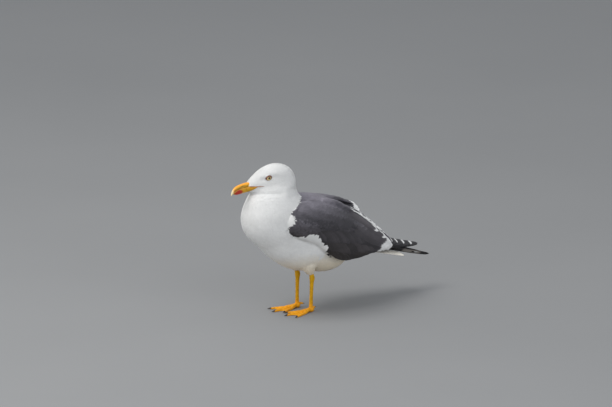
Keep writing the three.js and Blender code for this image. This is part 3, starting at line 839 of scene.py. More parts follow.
WHITE_COAT = plumage("white_plumage", 0.78, barbs=9.0, mottle=0.05, Specular_IOR_Level=0.25,
                     Sheen_Weight=0.15, Sheen_Roughness=0.5), "white_feathers"
SLATE_COAT = plumage("slate_plumage", 0.62, barbs=16.0, mottle=0.22,
                     Specular_IOR_Level=0.35), "slate_feathers"

roots = scattered(lambda p: head_part(p) & clear_of_features(p) & (slate_share(p) < 0.5),
                  lambda p: 1.35 + 1.15 * face_share(p), crowd=1.3, seed=11)
grown, face = face_share(roots), on_face(roots, True)
x, y, z = face.T
brow = smooth_step(-94, -110, y) * smooth_step(268, 277, z)
brow = brow * smooth_step(17, 9, x) * smooth_step(-133, -122, y)
raised = 0.7 * nape_share(face) + 0.5 * brow
feathers = vanes(roots, None, 4.2 + 5.5 * grown, 2.3 + 2.0 * grown, -0.5 + 0.9 * raised,
                 0.75 * coat_depth(roots) + 0.1 + raised, body_colours,
                 lie=body_lie, rows=3, cup=0.12, seed=12, sway=0.1)
coat_piece("coat_head", [feathers], WHITE_COAT, ["head", "neck"], soft=0.75)


def body_part(places):
    return ~head_part(places) & (slate_share(places) < 0.5) & ~thigh_part(places)


def thigh_part(places):
    x, y, z = np.abs(places + (0, 4, 0)).T
    return (z < 92) & (x > 10) & (x < 40) & (y < 16) & (outside_body(places) > -1.5)


def lower_part(places):
    return places[:, 2] + 0.25 * places[:, 1] < 150


def border_share(places):
    """1 where the white meets the slate just behind, so that the feathers there are drawn smaller."""
    return np.max([slate_share(places + np.array([0, back, 0])) * weight
                   for back, weight in ((3, 1), (7, 1), (11, 0.6))], axis=0)


def neck_part(places):
    return places[:, 2] - 0.4 * places[:, 1] > 246


BODY_COATS = {  # where, spacing, crowd, length, breadth, seed
    "neck": (lambda p: body_part(p) & ~lower_part(p) & neck_part(p), 2.5, 0.7, 12, 5.6, 21),
    "breast": (lambda p: body_part(p) & ~lower_part(p) & ~neck_part(p), 2.8, 0.6, 15, 6.6, 23),
    "belly": (lambda p: body_part(p) & lower_part(p), 3.4, 0.45, 20, 8.4, 31),
}
for name, (where, spacing, crowd, long, wide, seed) in BODY_COATS.items():
    roots = scattered(where, lambda p: spacing * (1 - 0.25 * border_share(p)), crowd, seed)
    small = 1 - 0.6 * border_share(roots)
    feathers = vanes(roots, None, long * small, wide * small, -0.9 * small, 1.35, body_colours, lie=body_lie,
                     seed=seed + 1, sway=0.09, cup=0.2)
    coat_piece("coat_" + name, [feathers], WHITE_COAT, ["neck", "trunk"], soft=0.72)
roots = scattered(thigh_part, 2.2, crowd=1.0, seed=41)
feathers = vanes(roots, None, 7, 3.6, -0.5, 1.5, body_colours,
                 lie=thigh_lie, rows=3, cup=0.2, seed=42, sway=0.15)
coat_piece("coat_thighs", [feathers], WHITE_COAT, ["thigh_left", "thigh_right"], soft=0.5)

# ---- Wing coverts and shoulder feathers ---------------------------------------------------------
# The folded wing is tiled with rows of slate feathers: small ones over the forearm, then the middle
# and great coverts, with the secondaries below them, and the shoulder feathers over all of them.


def on_side(side, spots):
    """Places on the skin behind drawn side-view places (y, z)."""
    found = []
    for y, z in np.asarray(spots, float):
        hit = skin_tree.ray_cast(Vector((side * 150, y, z)), Vector((-side, 0, 0)))[0]
        if not hit or hit.x * side <= -6:
            hit = skin_tree.find_nearest(Vector((side * 45, y, z)))[0]
        found.append(hit)
    return np.array([spot[:] for spot in found])


def row(side, count, first, middle, last, seed, stray=1.2):
    """Roots and tips of a row of feathers, each end given as (root y, z, tip y, z, breadth)."""
    chance = np.random.default_rng(seed + (side < 0))
    t = np.linspace(0, 1, count)[:, None]
    first, middle, last = (np.array(ends, float) for ends in (first, middle, last))
    bent = 2 * middle - (first + last) / 2
    ends = first * (1 - t) ** 2 + 2 * bent * t * (1 - t) + last * t**2
    ends[:, :4] += chance.normal(0, stray, (count, 4)) * (0.5, 0.5, 1, 1)
    return on_side(side, ends[:, :2]), on_side(side, ends[:, 2:4]), ends[:, 4]


def blend(first, last, share):
    """The colour first, turning to last where the share is 1."""
    return first * (1 - share[..., None]) + last * share[..., None]


def slate_colours(tone, rim=0.15, uneven=0.12, seed=3, root=0.82):
    """Slate feathers, each a little lighter or darker than the next, painted darker towards the root as
    painted shade under the feathers over it, with a paler rim.
    """
    def paint(roots, v, c):
        chance = np.random.default_rng(seed + len(roots))
        base = np.asarray(tone) * chance.normal(1, uneven, (len(roots), 1))
        edge = smooth_step(0.8, 1.0, np.maximum(v, np.abs(c) * 0.9 + 0.06)) * rim
        return blend(base[:, None, None] * (root + (1.04 - root) * v)[..., None], RIM, edge)
    return paint


def lower_tone(places):
    """Slate above and darker towards the rear, turning to a dusky brown on the lower coverts: painted shade
    where they face down.
    """
    low = smooth_step(200, 135, places[:, 2] + 0.25 * places[:, 1])[:, None]
    return SLATE * (0.5 + 0.65 * smooth_step(-5, -55, places[:, 1])[:, None]) * (1 - low) + DUSK * 1.05 * low


def covert_colours(roots, v, c):
    return slate_colours(np.ones(3), rim=0.05, uneven=0.15)(roots, v, c) * lower_tone(roots)[:, None, None]


def above_line(places, line):
    y, z = np.array(line, float).T
    return places[:, 2] - np.interp(places[:, 1], y, z)


def grown_share(places):
    """0 at the wing's bend, where the coverts are smallest, 1 well behind it."""
    return smooth_step(-74, -20, places[:, 1])


SCAPULAR_EDGE = [(-84, 204), (-48, 200), (-18, 187), (16, 182), (50, 181), (80, 176), (107, 168), (140, 150),
                 (200, 110)]
LESSER_EDGE = [(-90, 150), (-64, 160), (-40, 176), (-10, 183), (60, 166), (203, 150)]
COVERT_ROWS = (  # first, middle and last feather, how many, seed, heights, rows along and size on OFBake
    ((-2, 142, 34, 110, 14), (50, 118, 98, 96, 17), (116, 120, 176, 97, 18), 14, 61, 0.1, 1.0, 7, 0.008),
    ((-54, 172, -34, 152, 10), (4, 158, 42, 122, 16), (88, 144, 140, 108, 19), 18, 62, 0.3, 1.4, 6, 0.006),
    ((-58, 180, -40, 162, 9), (-4, 172, 20, 145, 13), (80, 156, 112, 128, 16), 21, 63, 0.5, 1.7, 5, 0.005),
)
for name, side in SIDES.items():
    ours = lambda p: (wing_share(p) > 0.5) & (slate_share(p) > 0.5) & (p[:, 0] * side > 0)
    low_part = lambda p: ours(p) & (above_line(p, LESSER_EDGE) <= 0) & (p[:, 1] < 190)
    high_part = lambda p: (ours(p) & (above_line(p, LESSER_EDGE) > 0) & (above_line(p, SCAPULAR_EDGE) < 5)
                           & (p[:, 1] < 90))
    roots = scattered(low_part, 7.0, crowd=0.2, seed=66)
    groups = [vanes(roots, None, 18, 12, -0.8, 0.6, covert_colours, lie=wing_lie, seed=66, sway=0.08)]
    for first, middle, last, count, seed, low, high, rows, bake in COVERT_ROWS:
        r, e, w = row(side, count, first, middle, last, seed)
        # Painted shade: the lowest row, the secondaries, is painted darker still, low on the folded wing.
        paint = slate_colours(DUSK * 0.85, rim=0.10) if seed == COVERT_ROWS[0][4] else covert_colours
        groups.append(vanes(r, e, 0, w, low, high, paint, rows=rows, columns=5, seed=seed, bake=bake))
    roots = scattered(high_part, lambda p: 2.8 + 1.6 * grown_share(p), crowd=0.5, seed=65)
    grown = grown_share(roots)
    groups.append(vanes(roots, None, 6.5 + 7.5 * grown, 5 + 5 * grown, -0.6, 1.7, covert_colours,
                        lie=wing_lie, seed=65, sway=0.07))
    coat_piece("coverts_" + name, groups, SLATE_COAT, ["wing_" + name], soft=0.35)

# ---- Tertials -----------------------------------------------------------------------------------
# The innermost quills lie over the folded wing's rear end. They are broad slate blades whose white
# ends step down to a wide white crescent at the wing's end.


def tipped_colours(dark, white_from, rim_from, upper=0):
    """Dark blades with white ends: white_from is where the white starts, as a share along each.
    From rim_from on, a white rim also runs up the edges, or up the upper one alone."""
    def paint(roots, v, c):
        first = np.broadcast_to(white_from, len(roots))[:, None, None] + 0.03 * np.cos(c * 3)
        edge = smooth_step(0.46, 0.6, c * upper if upper else np.abs(c))
        rim = edge * smooth_step(rim_from, rim_from + 0.12, v)
        white = np.maximum(smooth_step(-0.012, 0.012, v - first), rim)
        chance = np.random.default_rng(7 + len(roots))
        base = np.asarray(dark) * chance.normal(1, 0.08, (len(roots), 1))
        pale = smooth_step(0.1, 0.0, first - v) * 0.25
        # Painted shade: each blade is painted darker towards its root, under the blades over it.
        base = base[:, None, None] * (0.85 + 0.2 * v[..., None]) * (1 + pale[..., None])
        return blend(base, WHITE * 0.97, white)
    return paint


TERTIALS = np.array([  # root y, z, tip y, z, breadth, where the white starts, height of the tip, tone
    (70, 132, 192, 98, 30, 0.74, 0.9, 0.27),
    (74, 144, 201, 103, 29, 0.745, 1.3, 0.33),
    (80, 155, 205, 111, 26, 0.75, 1.7, 0.38),
    (86, 167, 200, 119, 23, 0.85, 2.2, 0.50),
    (90, 180, 188, 133, 21, 0.895, 2.7, 0.42),
    (90, 192, 169, 152, 20, 0.885, 3.2, 0.56),
])
for name, side in SIDES.items():
    wide, white_from, high, tone = TERTIALS[:, 4:].T
    r, e = on_side(side, TERTIALS[:, :2]), on_side(side, TERTIALS[:, 2:4])
    paint = tipped_colours((DUSK + SLATE) * tone[:, None], white_from, 0.76, side)
    blades = vanes(r, e, 0, wide, high * 1.15 - 0.6, high * 1.25, paint, rows=28, columns=11, seed=71,
                   cup=0.6, bake=0.02)
    coat_piece("tertials_" + name, [blades], SLATE_COAT, ["wing_" + name])

# ---- Shoulder feathers --------------------------------------------------------------------------
# Slate feathers tile the back, shoulders and upper wing, growing towards the rear. Long ones bridge
# the gap between the folded wings, and the wind has lifted the right shoulder's last ones.

# Painted light: the shoulder feathers are painted lighter the higher they lie, towards the light from above.
PAINTED_LIGHT_BY_HEIGHT = ((178, 194, 206, 214, 228), (0.30, 0.38, 0.65, 0.98, 1.75))  # height and lightness there
BACK_END = ((135, 161, 198, 215), (119, 96, 84, 70))  # z and y of the last shoulder feathers' roots


def rear_share(places):
    return smooth_step(-45, 80, places[:, 1])


def shoulder_colours(roots, v, c):
    x, y, z = roots.T
    # Painted shade: the right shoulder's rear feathers, on the far side, are painted darker.
    light = np.interp(z + 0.05 * y, *PAINTED_LIGHT_BY_HEIGHT) * (1 - 0.55 * smooth_step(45, 80, y) * (x < -8))
    streak = 1 + 0.10 * np.sin(z * 0.42 + y * 0.16)
    light, streak = (share[:, None, None, None] for share in (light, streak))
    return slate_colours(SLATE, rim=0.04, uneven=0.05, seed=84, root=0.99)(roots, v, c) * light * streak


for name, side in SIDES.items():
    def back_part(p):
        last = np.interp(p[:, 2], *BACK_END) + (6 if side < 0 else 0) * (p[:, 2] > 186)
        over = (above_line(p, SCAPULAR_EDGE) > 0) & (p[:, 2] > 130)
        return (slate_share(p) > 0.5) & over & (p[:, 0] * side > -1) & (p[:, 1] < last)

    roots = scattered(back_part, lambda p: 3.4 + 2.8 * rear_share(p), crowd=0.5, seed=84)
    grown = rear_share(roots)
    ahead = slate_share(roots + np.array([0, -7, 0])) * 0.5 + 0.5
    groups = [vanes(roots, None, (16 + 19 * grown) * ahead, (9.5 + 8.5 * grown) * ahead, -0.9,
                    1.7 + 0.8 * grown, shoulder_colours, rows=6, columns=5, lie=wing_lie, seed=84, sway=0.05,
                    cup=0.15)]
    r, e, w = row(side, 6, (54, 196, 106, 180, 17), (62, 188, 116, 166, 18), (74, 176, 126, 150, 17),
                  seed=85, stray=1.5)
    groups.append(vanes(r, e, 0, w, 1.2, 2.8, slate_colours(SLATE * 0.65, rim=0.2), rows=10, columns=5,
                        seed=85, bake=0.008))
    coat_piece("scapulars_" + name, groups, SLATE_COAT,
               ["wing_" + name, "shoulder_feathers_" + name, "mantle", "trunk"], soft=0.6)

# ---- Long outer feathers and tail ---------------------------------------------------------------
# Stiff quills, each a thin curved blade on a tapering shaft. The black wing tips carry small white
# crescents and cross over the white tail, the left one on top.

OUTER_TIPS = {  # out, y, z and breadth of each blade's end
    1: ((4, 214, 109, 22), (-2, 233, 103, 21), (-7, 255, 97, 20), (-12, 279, 91, 18), (-14.5, 295, 87, 16)),
    -1: ((5, 214, 100, 22), (1, 235, 92, 20), (-4, 257, 84, 19), (-9, 282, 75.5, 18), (-12, 303, 69, 16)),
}
POINTED = ([0, 0.1, 0.5, 0.8, 0.9, 0.96, 0.985, 1], [0.5, 0.75, 1, 0.92, 0.76, 0.58, 0.4, 0.08])
BLUNT = ([0, 0.1, 0.5, 0.9, 0.96, 0.985, 1], [0.45, 0.6, 0.9, 1, 0.84, 0.6, 0.1])
BLADE = ([0, 0.15, 0.5, 0.8, 0.92, 1], [0.4, 0.75, 1, 0.9, 0.66, 0.2])


def quills(roots, tips, wide, facing, colours, outline, bow=2.0, rows=44, columns=9, shaft=0.55):
    """Free blades from roots to tips, bowed along and cupped across, with a raised shaft."""
    share, cross = np.linspace(0, 1, rows + 1), np.linspace(-1, 1, columns)
    ahead = unit(tips - roots)
    across = unit(np.cross(facing, ahead))
    up = np.cross(ahead, across)
    half = np.interp(share, *outline)[None, :] * np.broadcast_to(wide, len(roots))[:, None] / 2
    bowed = up[:, None] * (bow * np.sin(share * math.pi))[:, None]
    spine = roots[:, None] + (tips - roots)[:, None] * share[:, None] + bowed
    ridge = shaft * np.exp(-((cross / 0.09) ** 2)) * (1 - 0.8 * share[:, None])
    drop = ridge - 0.09 * half[:, :, None] * cross**2
    spots = (spine[:, :, None] + across[:, None, None] * (half[:, :, None] * cross)[..., None]
             + up[:, None, None] * drop[..., None])
    strips = np.arange(len(roots))[:, None, None] + 0.5
    return blades_of(spots, share, cross, colours, roots,
                     lambda v, c: np.stack([(strips + c * 0.42) / len(roots), 0.02 + 0.96 * v], -1))


def quill_piece(name, blades, coat, node):
    """A piece of free quills, as thick as a real vane."""
    wall = coat_piece(name, [blades], coat, [node]).modifiers.new("vane_thickness", "SOLIDIFY")
    wall.thickness, wall.offset = 0.0006, 0


def white_colours(roots, v, c):
    return np.broadcast_to(white_at(roots)[:, None, None] * 0.98, (*v.shape, 3))


def wing_tip_colours(side):
    """Black quills with white crescents near the tips, and on the right side's last one a pale grey field:
    its white mirror, painted grey as painted shade.
    """
    def paint(roots, v, c):
        inner = np.abs(c)
        white = smooth_step(0.935, 0.945, v - 0.014 * inner) * smooth_step(0.985, 0.975, v)
        white = white * smooth_step(0.95, 0.75, inner)
        white[-1] = 0
        # Painted shade: the far wing's white mirror is painted grey.
        pale = smooth_step(0.68, 0.70, v) * smooth_step(0.91, 0.88, v)
        pale = pale * smooth_step(0.85, 0.65, inner) * (side < 0)
        pale[:-1] = 0
        return blend(blend(BLACK, np.array([0.30, 0.27, 0.24]), pale), WHITE * 0.95, white)
    return paint


BLACK_COAT = plumage("black_plumage", 0.5, barbs=60.0, mottle=0.12, Specular_IOR_Level=0.4), "black_feathers"
TAIL_COAT = plumage("tail_plumage", 0.7, barbs=60.0, mottle=0.05, Specular_IOR_Level=0.3), "white_feathers"
for name, side in SIDES.items():
    tips = np.array(OUTER_TIPS[side], float)
    order = np.arange(len(tips))
    roots = np.stack([side * (40 - 1.8 * order), np.full(len(tips), 128.0), 124 - 3.0 * order], 1)
    spread = np.stack([side * 0.5 * (4 - order), 0 * order, 0.4 * (4 - order)], 1)
    blades = quills(roots, tips[:, :3] * (side, 1, 1) + spread, tips[:, 3], (side * 0.6, 0.1, 0.78),
                    wing_tip_colours(side), POINTED, bow=1.0)
    quill_piece("outer_quills_" + name, blades, BLACK_COAT, "outer_feathers_" + name)

for name, side in SIDES.items():
    first, last = np.array([78, 90, 102, 114, 126, 140.0]), np.array([128, 146, 162, 176, 189, 200.0])
    lift = np.array([3.2, 3.6, 3.2, 2.2, 1.2, 0.6])
    (_, near, high, *_), (_, out, end, *_) = between(WING_SECTIONS, first).T, between(WING_SECTIONS, last).T
    roots = np.stack([side * (near + 3), first, high - 3 + lift], 1)
    ends = np.stack([side * (out - 1.5), last, end + 0.2 + lift], 1)
    paint = tipped_colours(SLATE * 0.7, 0.76, 0.25, -side)
    blades = quills(roots, ends, 18.0, (side * 0.35, 0.4, 0.85), paint, BLADE, bow=1.6,
                    rows=24, columns=7, shaft=0.3)
    quill_piece("inner_tertials_" + name, blades, SLATE_COAT, "wing_" + name)

LIFTED = np.array([  # root, end, breadth and where the white starts on each
    (-31, 84, 204, -31, 146, 186.5, 17, 0.93), (-27, 85, 202, -28, 151, 184, 17, 0.86),
    (-24, 88, 198, -24, 153, 180.5, 16, 0.79), (-20, 90, 193, -20, 153, 176.5, 15, 0.77),
    (-17, 92, 189, -17, 150, 172.5, 14, 0.77),
])
# Painted shade: the lifted feathers of the far shoulder are painted half as light as the slate.
paint = tipped_colours(SLATE * 0.5, LIFTED[:, 7], 0.92)
blades = quills(LIFTED[:, :3], LIFTED[:, 3:6], LIFTED[:, 6], (0.5, 0.25, 0.8), paint, BLUNT,
                rows=24, columns=7, shaft=0.3)
quill_piece("lifted_feathers", blades, SLATE_COAT, "shoulder_feathers_right")

side, pair = np.array([(side, pair) for pair in range(6) for side in (-1, 1)][::-1], float).T
fan, droop, long = np.radians(side * (0.6 + 5.4 * pair / 5)), math.radians(12.8), 144 - 1.0 * pair
roots = np.stack([side * (1 + pair * 1.5), np.full(12, 96.0), 112.6 - pair * 0.42 + side * 0.12], 1)
reach = np.stack([np.sin(fan) * long, np.cos(fan) * math.cos(droop) * long, -math.sin(droop) * long], 1)
blades = quills(roots, roots + reach, 21.0, (0, 0.2, 1.0), white_colours, BLUNT, bow=0.8, rows=34)
quill_piece("tail_quills", blades, TAIL_COAT, "tail")

# ---- Flank feathers -----------------------------------------------------------------------------
# White flank feathers that lap up over the lower edge of each folded wing in two loose tufts, a
# large one in front and a small one behind it.

TUFTS = (  # y and z of the edge that each tuft's tips lie on, and how many there are
    ([(-68, 171), (-56, 169), (-47, 170), (-38, 171), (-24, 170), (-14, 165), (-8, 156)], 110),
    ([(-12, 150), (-4, 151), (4, 147), (9, 141), (12, 132)], 52),
)
for name, side in SIDES.items():
    chance = np.random.default_rng(95)
    starts, tips = [], []
    for edge, count in TUFTS:
        (y, z), deep = np.array(edge, float).T, chance.uniform(0, 1, count) ** 1.3 * 16
        at = chance.uniform(y[0], y[-1], count)
        tips.append(np.stack([at, np.interp(at, y, z) - deep], 1))
        starts.append(tips[-1] - np.stack([chance.normal(9, 2, count), np.full(count, 16.0)], 1))
    starts, tips = on_side(side, np.concatenate(starts)), on_side(side, np.concatenate(tips))
    tuft = vanes(starts, tips, 0, 8.5, 0.5, 3.8, lambda r, v, c: np.broadcast_to(WHITE * 0.98, (*v.shape, 3)),
                 rows=7, columns=5, seed=96, bake=0.005)
    coat_piece("flank_" + name, [tuft], WHITE_COAT, ["trunk", "wing_" + name], soft=0.5)

# ---- Eyes ---------------------------------------------------------------------------------------
# Pale straw-coloured eyes with small pupils, each set in a bare brick-red ring of skin that serves
# as its lids. The wet cornea covers the whole ball.

RING_REACH, RING_TILT = 5.25, math.radians(15)  # the ring's rear corner stands higher

eye_finish, tree, shader = finish("eye_surface", 0.2, Coat_Weight=0.35, Coat_Roughness=0.03,
                                  Specular_IOR_Level=0.4)
ring = wire(tree, "SeparateXYZ", {0: wire(tree, "UVMap", uv_map="iris").outputs["UV"]})
around, away = (maths(tree, "MULTIPLY", ring.outputs[way], finer) for way, finer in (("X", 40.0), ("Y", 3.0)))
rays = noise(tree, wire(tree, "CombineXYZ", {0: around, 1: away}).outputs[0], 1.0, 3.0)
spread = maths(tree, "MULTIPLY_ADD", rays, 0.07, ring.outputs["Y"])
shade_colour(tree, shader, ramp(
    tree, spread, (0.23, (0.006, 0.005, 0.005)), (0.265, (0.30, 0.20, 0.07)), (0.35, (0.74, 0.58, 0.24)),
    (0.46, (0.82, 0.70, 0.36)), (0.60, (0.60, 0.42, 0.15)), (0.68, (0.06, 0.03, 0.02))))

lid_finish, tree, shader = finish("bare_eye_ring", 0.45, Specular_IOR_Level=0.5)
knobs = wire(tree, "TexVoronoi", {"Vector": object_place(tree), "Scale": 1500.0}).outputs["Distance"]
colour = ramp(tree, knobs, (0, (0.20, 0.036, 0.012)), (1, (0.07, 0.012, 0.006)))
shade_colour(tree, shader, colour, knobs, strength=0.4, depth=0.0002)

for (name, side), centre in zip(SIDES.items(), eyes):
    out = Vector(unit(np.array([side * 1.0, -0.16, 0.14])))
    facing = out.to_track_quat("Z", "Y").to_matrix().to_4x4()
    back = facing.inverted().to_3x3()
    bm = bmesh.new()
    bmesh.ops.create_uvsphere(bm, u_segments=48, v_segments=32, radius=EYE_RADIUS,
                              matrix=Matrix.Translation(centre) @ facing)
    iris = bm.loops.layers.uv.new("iris")
    for loop in (loop for face in bm.faces for loop in face.loops):
        away = back @ (loop.vert.co - centre)
        from_pupil = math.acos(max(-1, min(1, away.z / EYE_RADIUS))) / (math.pi / 2)
        loop[iris].uv = (math.atan2(away.y, away.x) / math.tau + 0.5, from_pupil)
    place_piece(piece_of("eyeball_" + name, [bm]), eye_finish, ["eye_" + name])

    bm = bmesh.new()
    stand = Matrix.Rotation(math.pi / 2, 4, "X") @ Matrix.Diagonal((0.95, 0.8, 1, 1))
    bmesh.ops.create_circle(bm, segments=16, radius=1.0, cap_ends=False,
                            matrix=Matrix.Translation((RING_REACH, 0, 0)) @ stand)
    bmesh.ops.spin(bm, geom=bm.verts[:] + bm.edges[:], cent=(0, 0, 0), axis=(0, 0, 1), angle=2 * math.pi,
                   steps=56, use_merge=True)
    bmesh.ops.recalc_face_normals(bm, faces=bm.faces)
    c, s = math.cos(RING_TILT), math.sin(RING_TILT)
    for vert in bm.verts:  # squeezed to an almond, thickest above
        way = Vector((vert.co.x, vert.co.y, 0)).normalized()
        thick = 1.1 + 0.7 * (facing.to_3x3() @ way).z
        spot = facing @ (way * (RING_REACH + ((vert.co.xy.length) - RING_REACH) * thick)
                         + Vector((0, 0, vert.co.z * thick + 4.5)))
        along = (spot.y * c + spot.z * s) * 1.1
        up = (spot.z * c - spot.y * s) * (0.76 - 0.2 * min(abs(along) / 6.8, 1) ** 4)
        spot.y, spot.z = along * c - up * s, along * s + up * c
        vert.co = spot + centre + out * (0.45 * (up / 6) - 0.5 * abs(along / 6.8) ** 3)
    place_piece(piece_of("eye_ring_" + name, [bm]), lid_finish, ["eye_" + name, "head"])

# ---- Bill ---------------------------------------------------------------------------------------
# A stout horny bill in two halves: yellow with an orange ridge, a red spot on the lower half's angle,
# brownish cutting edges, a pale tip and slit nostrils. Behind it lie the bare base of the lower half
# and the corners of the mouth.

BILL_START, BILL_LENGTH = -129.5, 38.0
BILL_HALVES = {  # share of the length, ridge or keel, cutting edge, half width
    "bill_upper": (
        (-0.5, 272, 264.4, 4.8), (-0.2, 273.4, 265.2, 5.8), (0, 273, 265.4, 6), (0.25, 271.9, 264.6, 5.2),
        (0.5, 269.9, 262.6, 4.5), (0.72, 267, 259.6, 3.7), (0.86, 263.3, 255.4, 2.9),
        (0.95, 258.4, 251.8, 1.9), (1, 252.6, 249.6, 0.8),
    ),
    "bill_lower": (
        (-0.5, 257.4, 264.4, 4.5), (-0.2, 254.8, 265.4, 5.5), (0, 254.2, 265.6, 5.6), (0.25, 253, 264.8, 4.8),
        (0.5, 251.4, 262.8, 4), (0.66, 250.7, 260.8, 3.4), (0.78, 251.2, 257.6, 2.7), (0.88, 252.2, 255, 1.6),
    ),
}
BILL_BASE = np.array([  # the bare base of the lower half runs back to a point under the gape
    (5.0, -136.0, 260.2, 1.0, 4.2), (7.9, -131.0, 260.8, 1.2, 3.9), (11.6, -126.0, 262.2, 1.2, 2.6),
    (13.9, -122.8, 263.3, 1.0, 1.6), (15.2, -120.0, 264.4, 0.8, 0.8), (15.7, -118.4, 264.9, 0.4, 0.4),
])
MOUTH_CORNER = np.array([
    (8.0, -131, 265.5, 0.8, 0.9), (12.6, -124, 265.7, 0.8, 0.9), (15.8, -114.5, 265.6, 0.7, 0.75),
    (18.4, -105, 265.6, 0.3, 0.3),
])
# Painted light and shade: YELLOW is the bill's yellow darkened as on its shaded sides; ORANGE on the ridge is
# partly its own orange and partly painted light.
YELLOW, ORANGE, CREAM, RED, OLIVE, BROWN, BLACKISH, LIP = np.array([
    (0.54, 0.29, 0.003), (0.80, 0.33, 0.010), (0.80, 0.68, 0.40), (0.40, 0.020, 0.003), (0.18, 0.095, 0.006),
    (0.42, 0.12, 0.02), (0.05, 0.025, 0.01), (0.30, 0.10, 0.03),
])

bill_surface, tree, shader = finish("bill_surface", 0.34, Specular_IOR_Level=0.5, Coat_Weight=0.15,
                                    Coat_Roughness=0.2)
place = object_place(tree)
cloudy = noise(tree, place, 260.0, 5.0, 0.6)
streaks = noise(tree, stretched(tree, place, (1.0, 0.12, 1.0)), 900.0, 3.0)
tone = maths(tree, "MULTIPLY_ADD", streaks, 0.14, ranged(tree, cloudy, 0.3, 0.7, 0.84, 1.08))
tree.links.new(ranged(tree, cloudy, 0, 1, 0.26, 0.46), shader.inputs["Roughness"])
shade_colour(tree, shader, toned(tree, own_colour(tree, "horn"), tone), streaks, strength=0.25, depth=0.0002)


def bump_at(share, middle, wide):
    return np.exp(-(((share - middle) / wide) ** 2))


def nostril(share, z, long, wide):
    """1 in the slit nostril and the groove in front of it, 0 away from it."""
    return np.exp(-(((share - 0.40) / long) ** 2) - ((z - 267.0 + (share - 0.4) * 8) / wide) ** 2)


def bill_colours(upper, share, high, z):
    """Colours along the bill by share, and by high, which is 0 at the cutting edge and 1 on ridge or keel."""
    # Painted light and shade: each half's upper part is painted lighter orange and the rest darker yellow, as
    # its sides lie in shade.
    orange = smooth_step(0.35, 0.95, high) if upper else smooth_step(0.5, 0.1, high) * 0.4
    if upper:
        layers = (
            (OLIVE, bump_at(share, 0.60, 0.13) * smooth_step(0.5, 0.1, high) * 0.8),
            (BROWN, bump_at(share, 0.82, 0.10) * smooth_step(0.8, 0.25, high) * 0.85),
            (BLACKISH, nostril(share, z, 0.09, 0.7) * 0.9),
            (CREAM, smooth_step(0.84, 0.97, share)),
        )
    else:
        layers = (
            (RED, smooth_step(1.0, 0.62, np.hypot((share - 0.63) / 0.30, (high - 0.62) / 0.62))),
            (CREAM, smooth_step(0.84, 0.9, share) * 0.7),
        )
    lip = smooth_step(0.10, 0.0, high) * 0.55 * smooth_step(0.7, 0.2, share)
    tint = np.broadcast_to(YELLOW, (len(share), 3))
    for colour, strength in ((ORANGE, orange), *layers, (LIP, lip)):
        tint = blend(tint, colour, strength)
    return tint


for name, stations in BILL_HALVES.items():
    upper, (start, *_), (end, *_) = name == "bill_upper", stations[0], stations[-1]

    def bill_place(t, angle):
        share = start + (end - start) * t
        _, ridge, edge, width = between(stations, share).T
        flat = np.sign(ridge - edge) * np.sin(angle) < 0
        x = signed_power(np.cos(angle), np.where(flat, 0.45, 0.8)) * width
        rise = np.where(flat, signed_power(np.sin(angle), 0.45), np.sin(angle))
        z = (ridge + edge) / 2 + rise * (np.abs(ridge - edge) / 2)
        if upper:
            x = x - np.sign(x) * nostril(share, z, 0.10, 0.95)
        return turned(np.stack([x, BILL_START - share * BILL_LENGTH, z], 1), HEAD_TURN)

    half = piece_of(name + "_horn", [tube(56, 90, bill_place)])
    _, y, z = on_face(spots_of(half.data)).T
    share = (BILL_START - y) / BILL_LENGTH
    _, ridge, edge, _ = between(stations, share).T
    set_colour(half.data, bill_colours(upper, share, np.clip((z - edge) / (ridge - edge), 0, 1), z), "horn")
    place_piece(half, bill_surface, [name])

for name, side in SIDES.items():
    base = np.c_[on_head(side, BILL_BASE[:, :3]), BILL_BASE[:, 3:]]
    flange = piece_of("bill_base_" + name, [limb(20, 50, base)])
    high = smooth_step(259, 264, spots_of(flange.data)[:, 2])[:, None]
    # As on the bill, the bare base is painted lighter orange higher up: painted light.
    set_colour(flange.data, YELLOW * 0.85 + (ORANGE - YELLOW) * 0.4 * high, "horn")
    place_piece(flange, bill_surface, ["bill_lower"])

gape_finish = mottled("mouth_corner_skin", 0.5, 700.0, 2.0, (0.20, 0.07, 0.03), (0.38, 0.16, 0.07))
for name, side in SIDES.items():
    line = laid_at(on_head(side, MOUTH_CORNER[:, :3]), 0.75)
    corner = piece_of("mouth_corner_" + name, [limb(12, 24, np.c_[line, MOUTH_CORNER[:, 3:]])])
    place_piece(corner, gape_finish, ["head"])

# ---- Legs and feet ------------------------------------------------------------------------------
# Yellow legs in a skin of horny plates, and webbed feet, more orange below. Each foot is one skin
# over three front toes, the webs between them and a small raised hind toe.

LEG_OUT, MIDDLE_TOE = 22.0, 54.0
FOOT_ROOT = (LEG_OUT, -3, 0)  # where the front toes part
SHANK = (
    (23.5, -3, 83, 3.4, 3.8), (23.3, 0.5, 74, 4, 4.6), (23, 2, 67, 4.6, 5.6), (22.7, 1.5, 58, 3.3, 4.4),
    (22.4, 0.6, 33.5, 2.8, 3.8), (22, 0.2, 16, 3.1, 4), (22, 0, 8.4, 3.8, 4.4), (22, 0, 4.5, 3.6, 4.2),
)
HIND_TOE = ((21.5, 2, 8.5, 2.8, 2.8), (20.2, 8, 8, 2, 2.2), (19, 12, 7, 1.5, 1.6), (18.8, 13, 6.8, 0.8, 0.8))
TOES = {  # degrees outwards, share of the middle toe's length, joints along it
    "inner": (-21, 0.82, (0.5,)), "middle": (0, 1.0, (0.42, 0.74)), "outer": (25, 0.93, (0.36, 0.6, 0.8)),
}


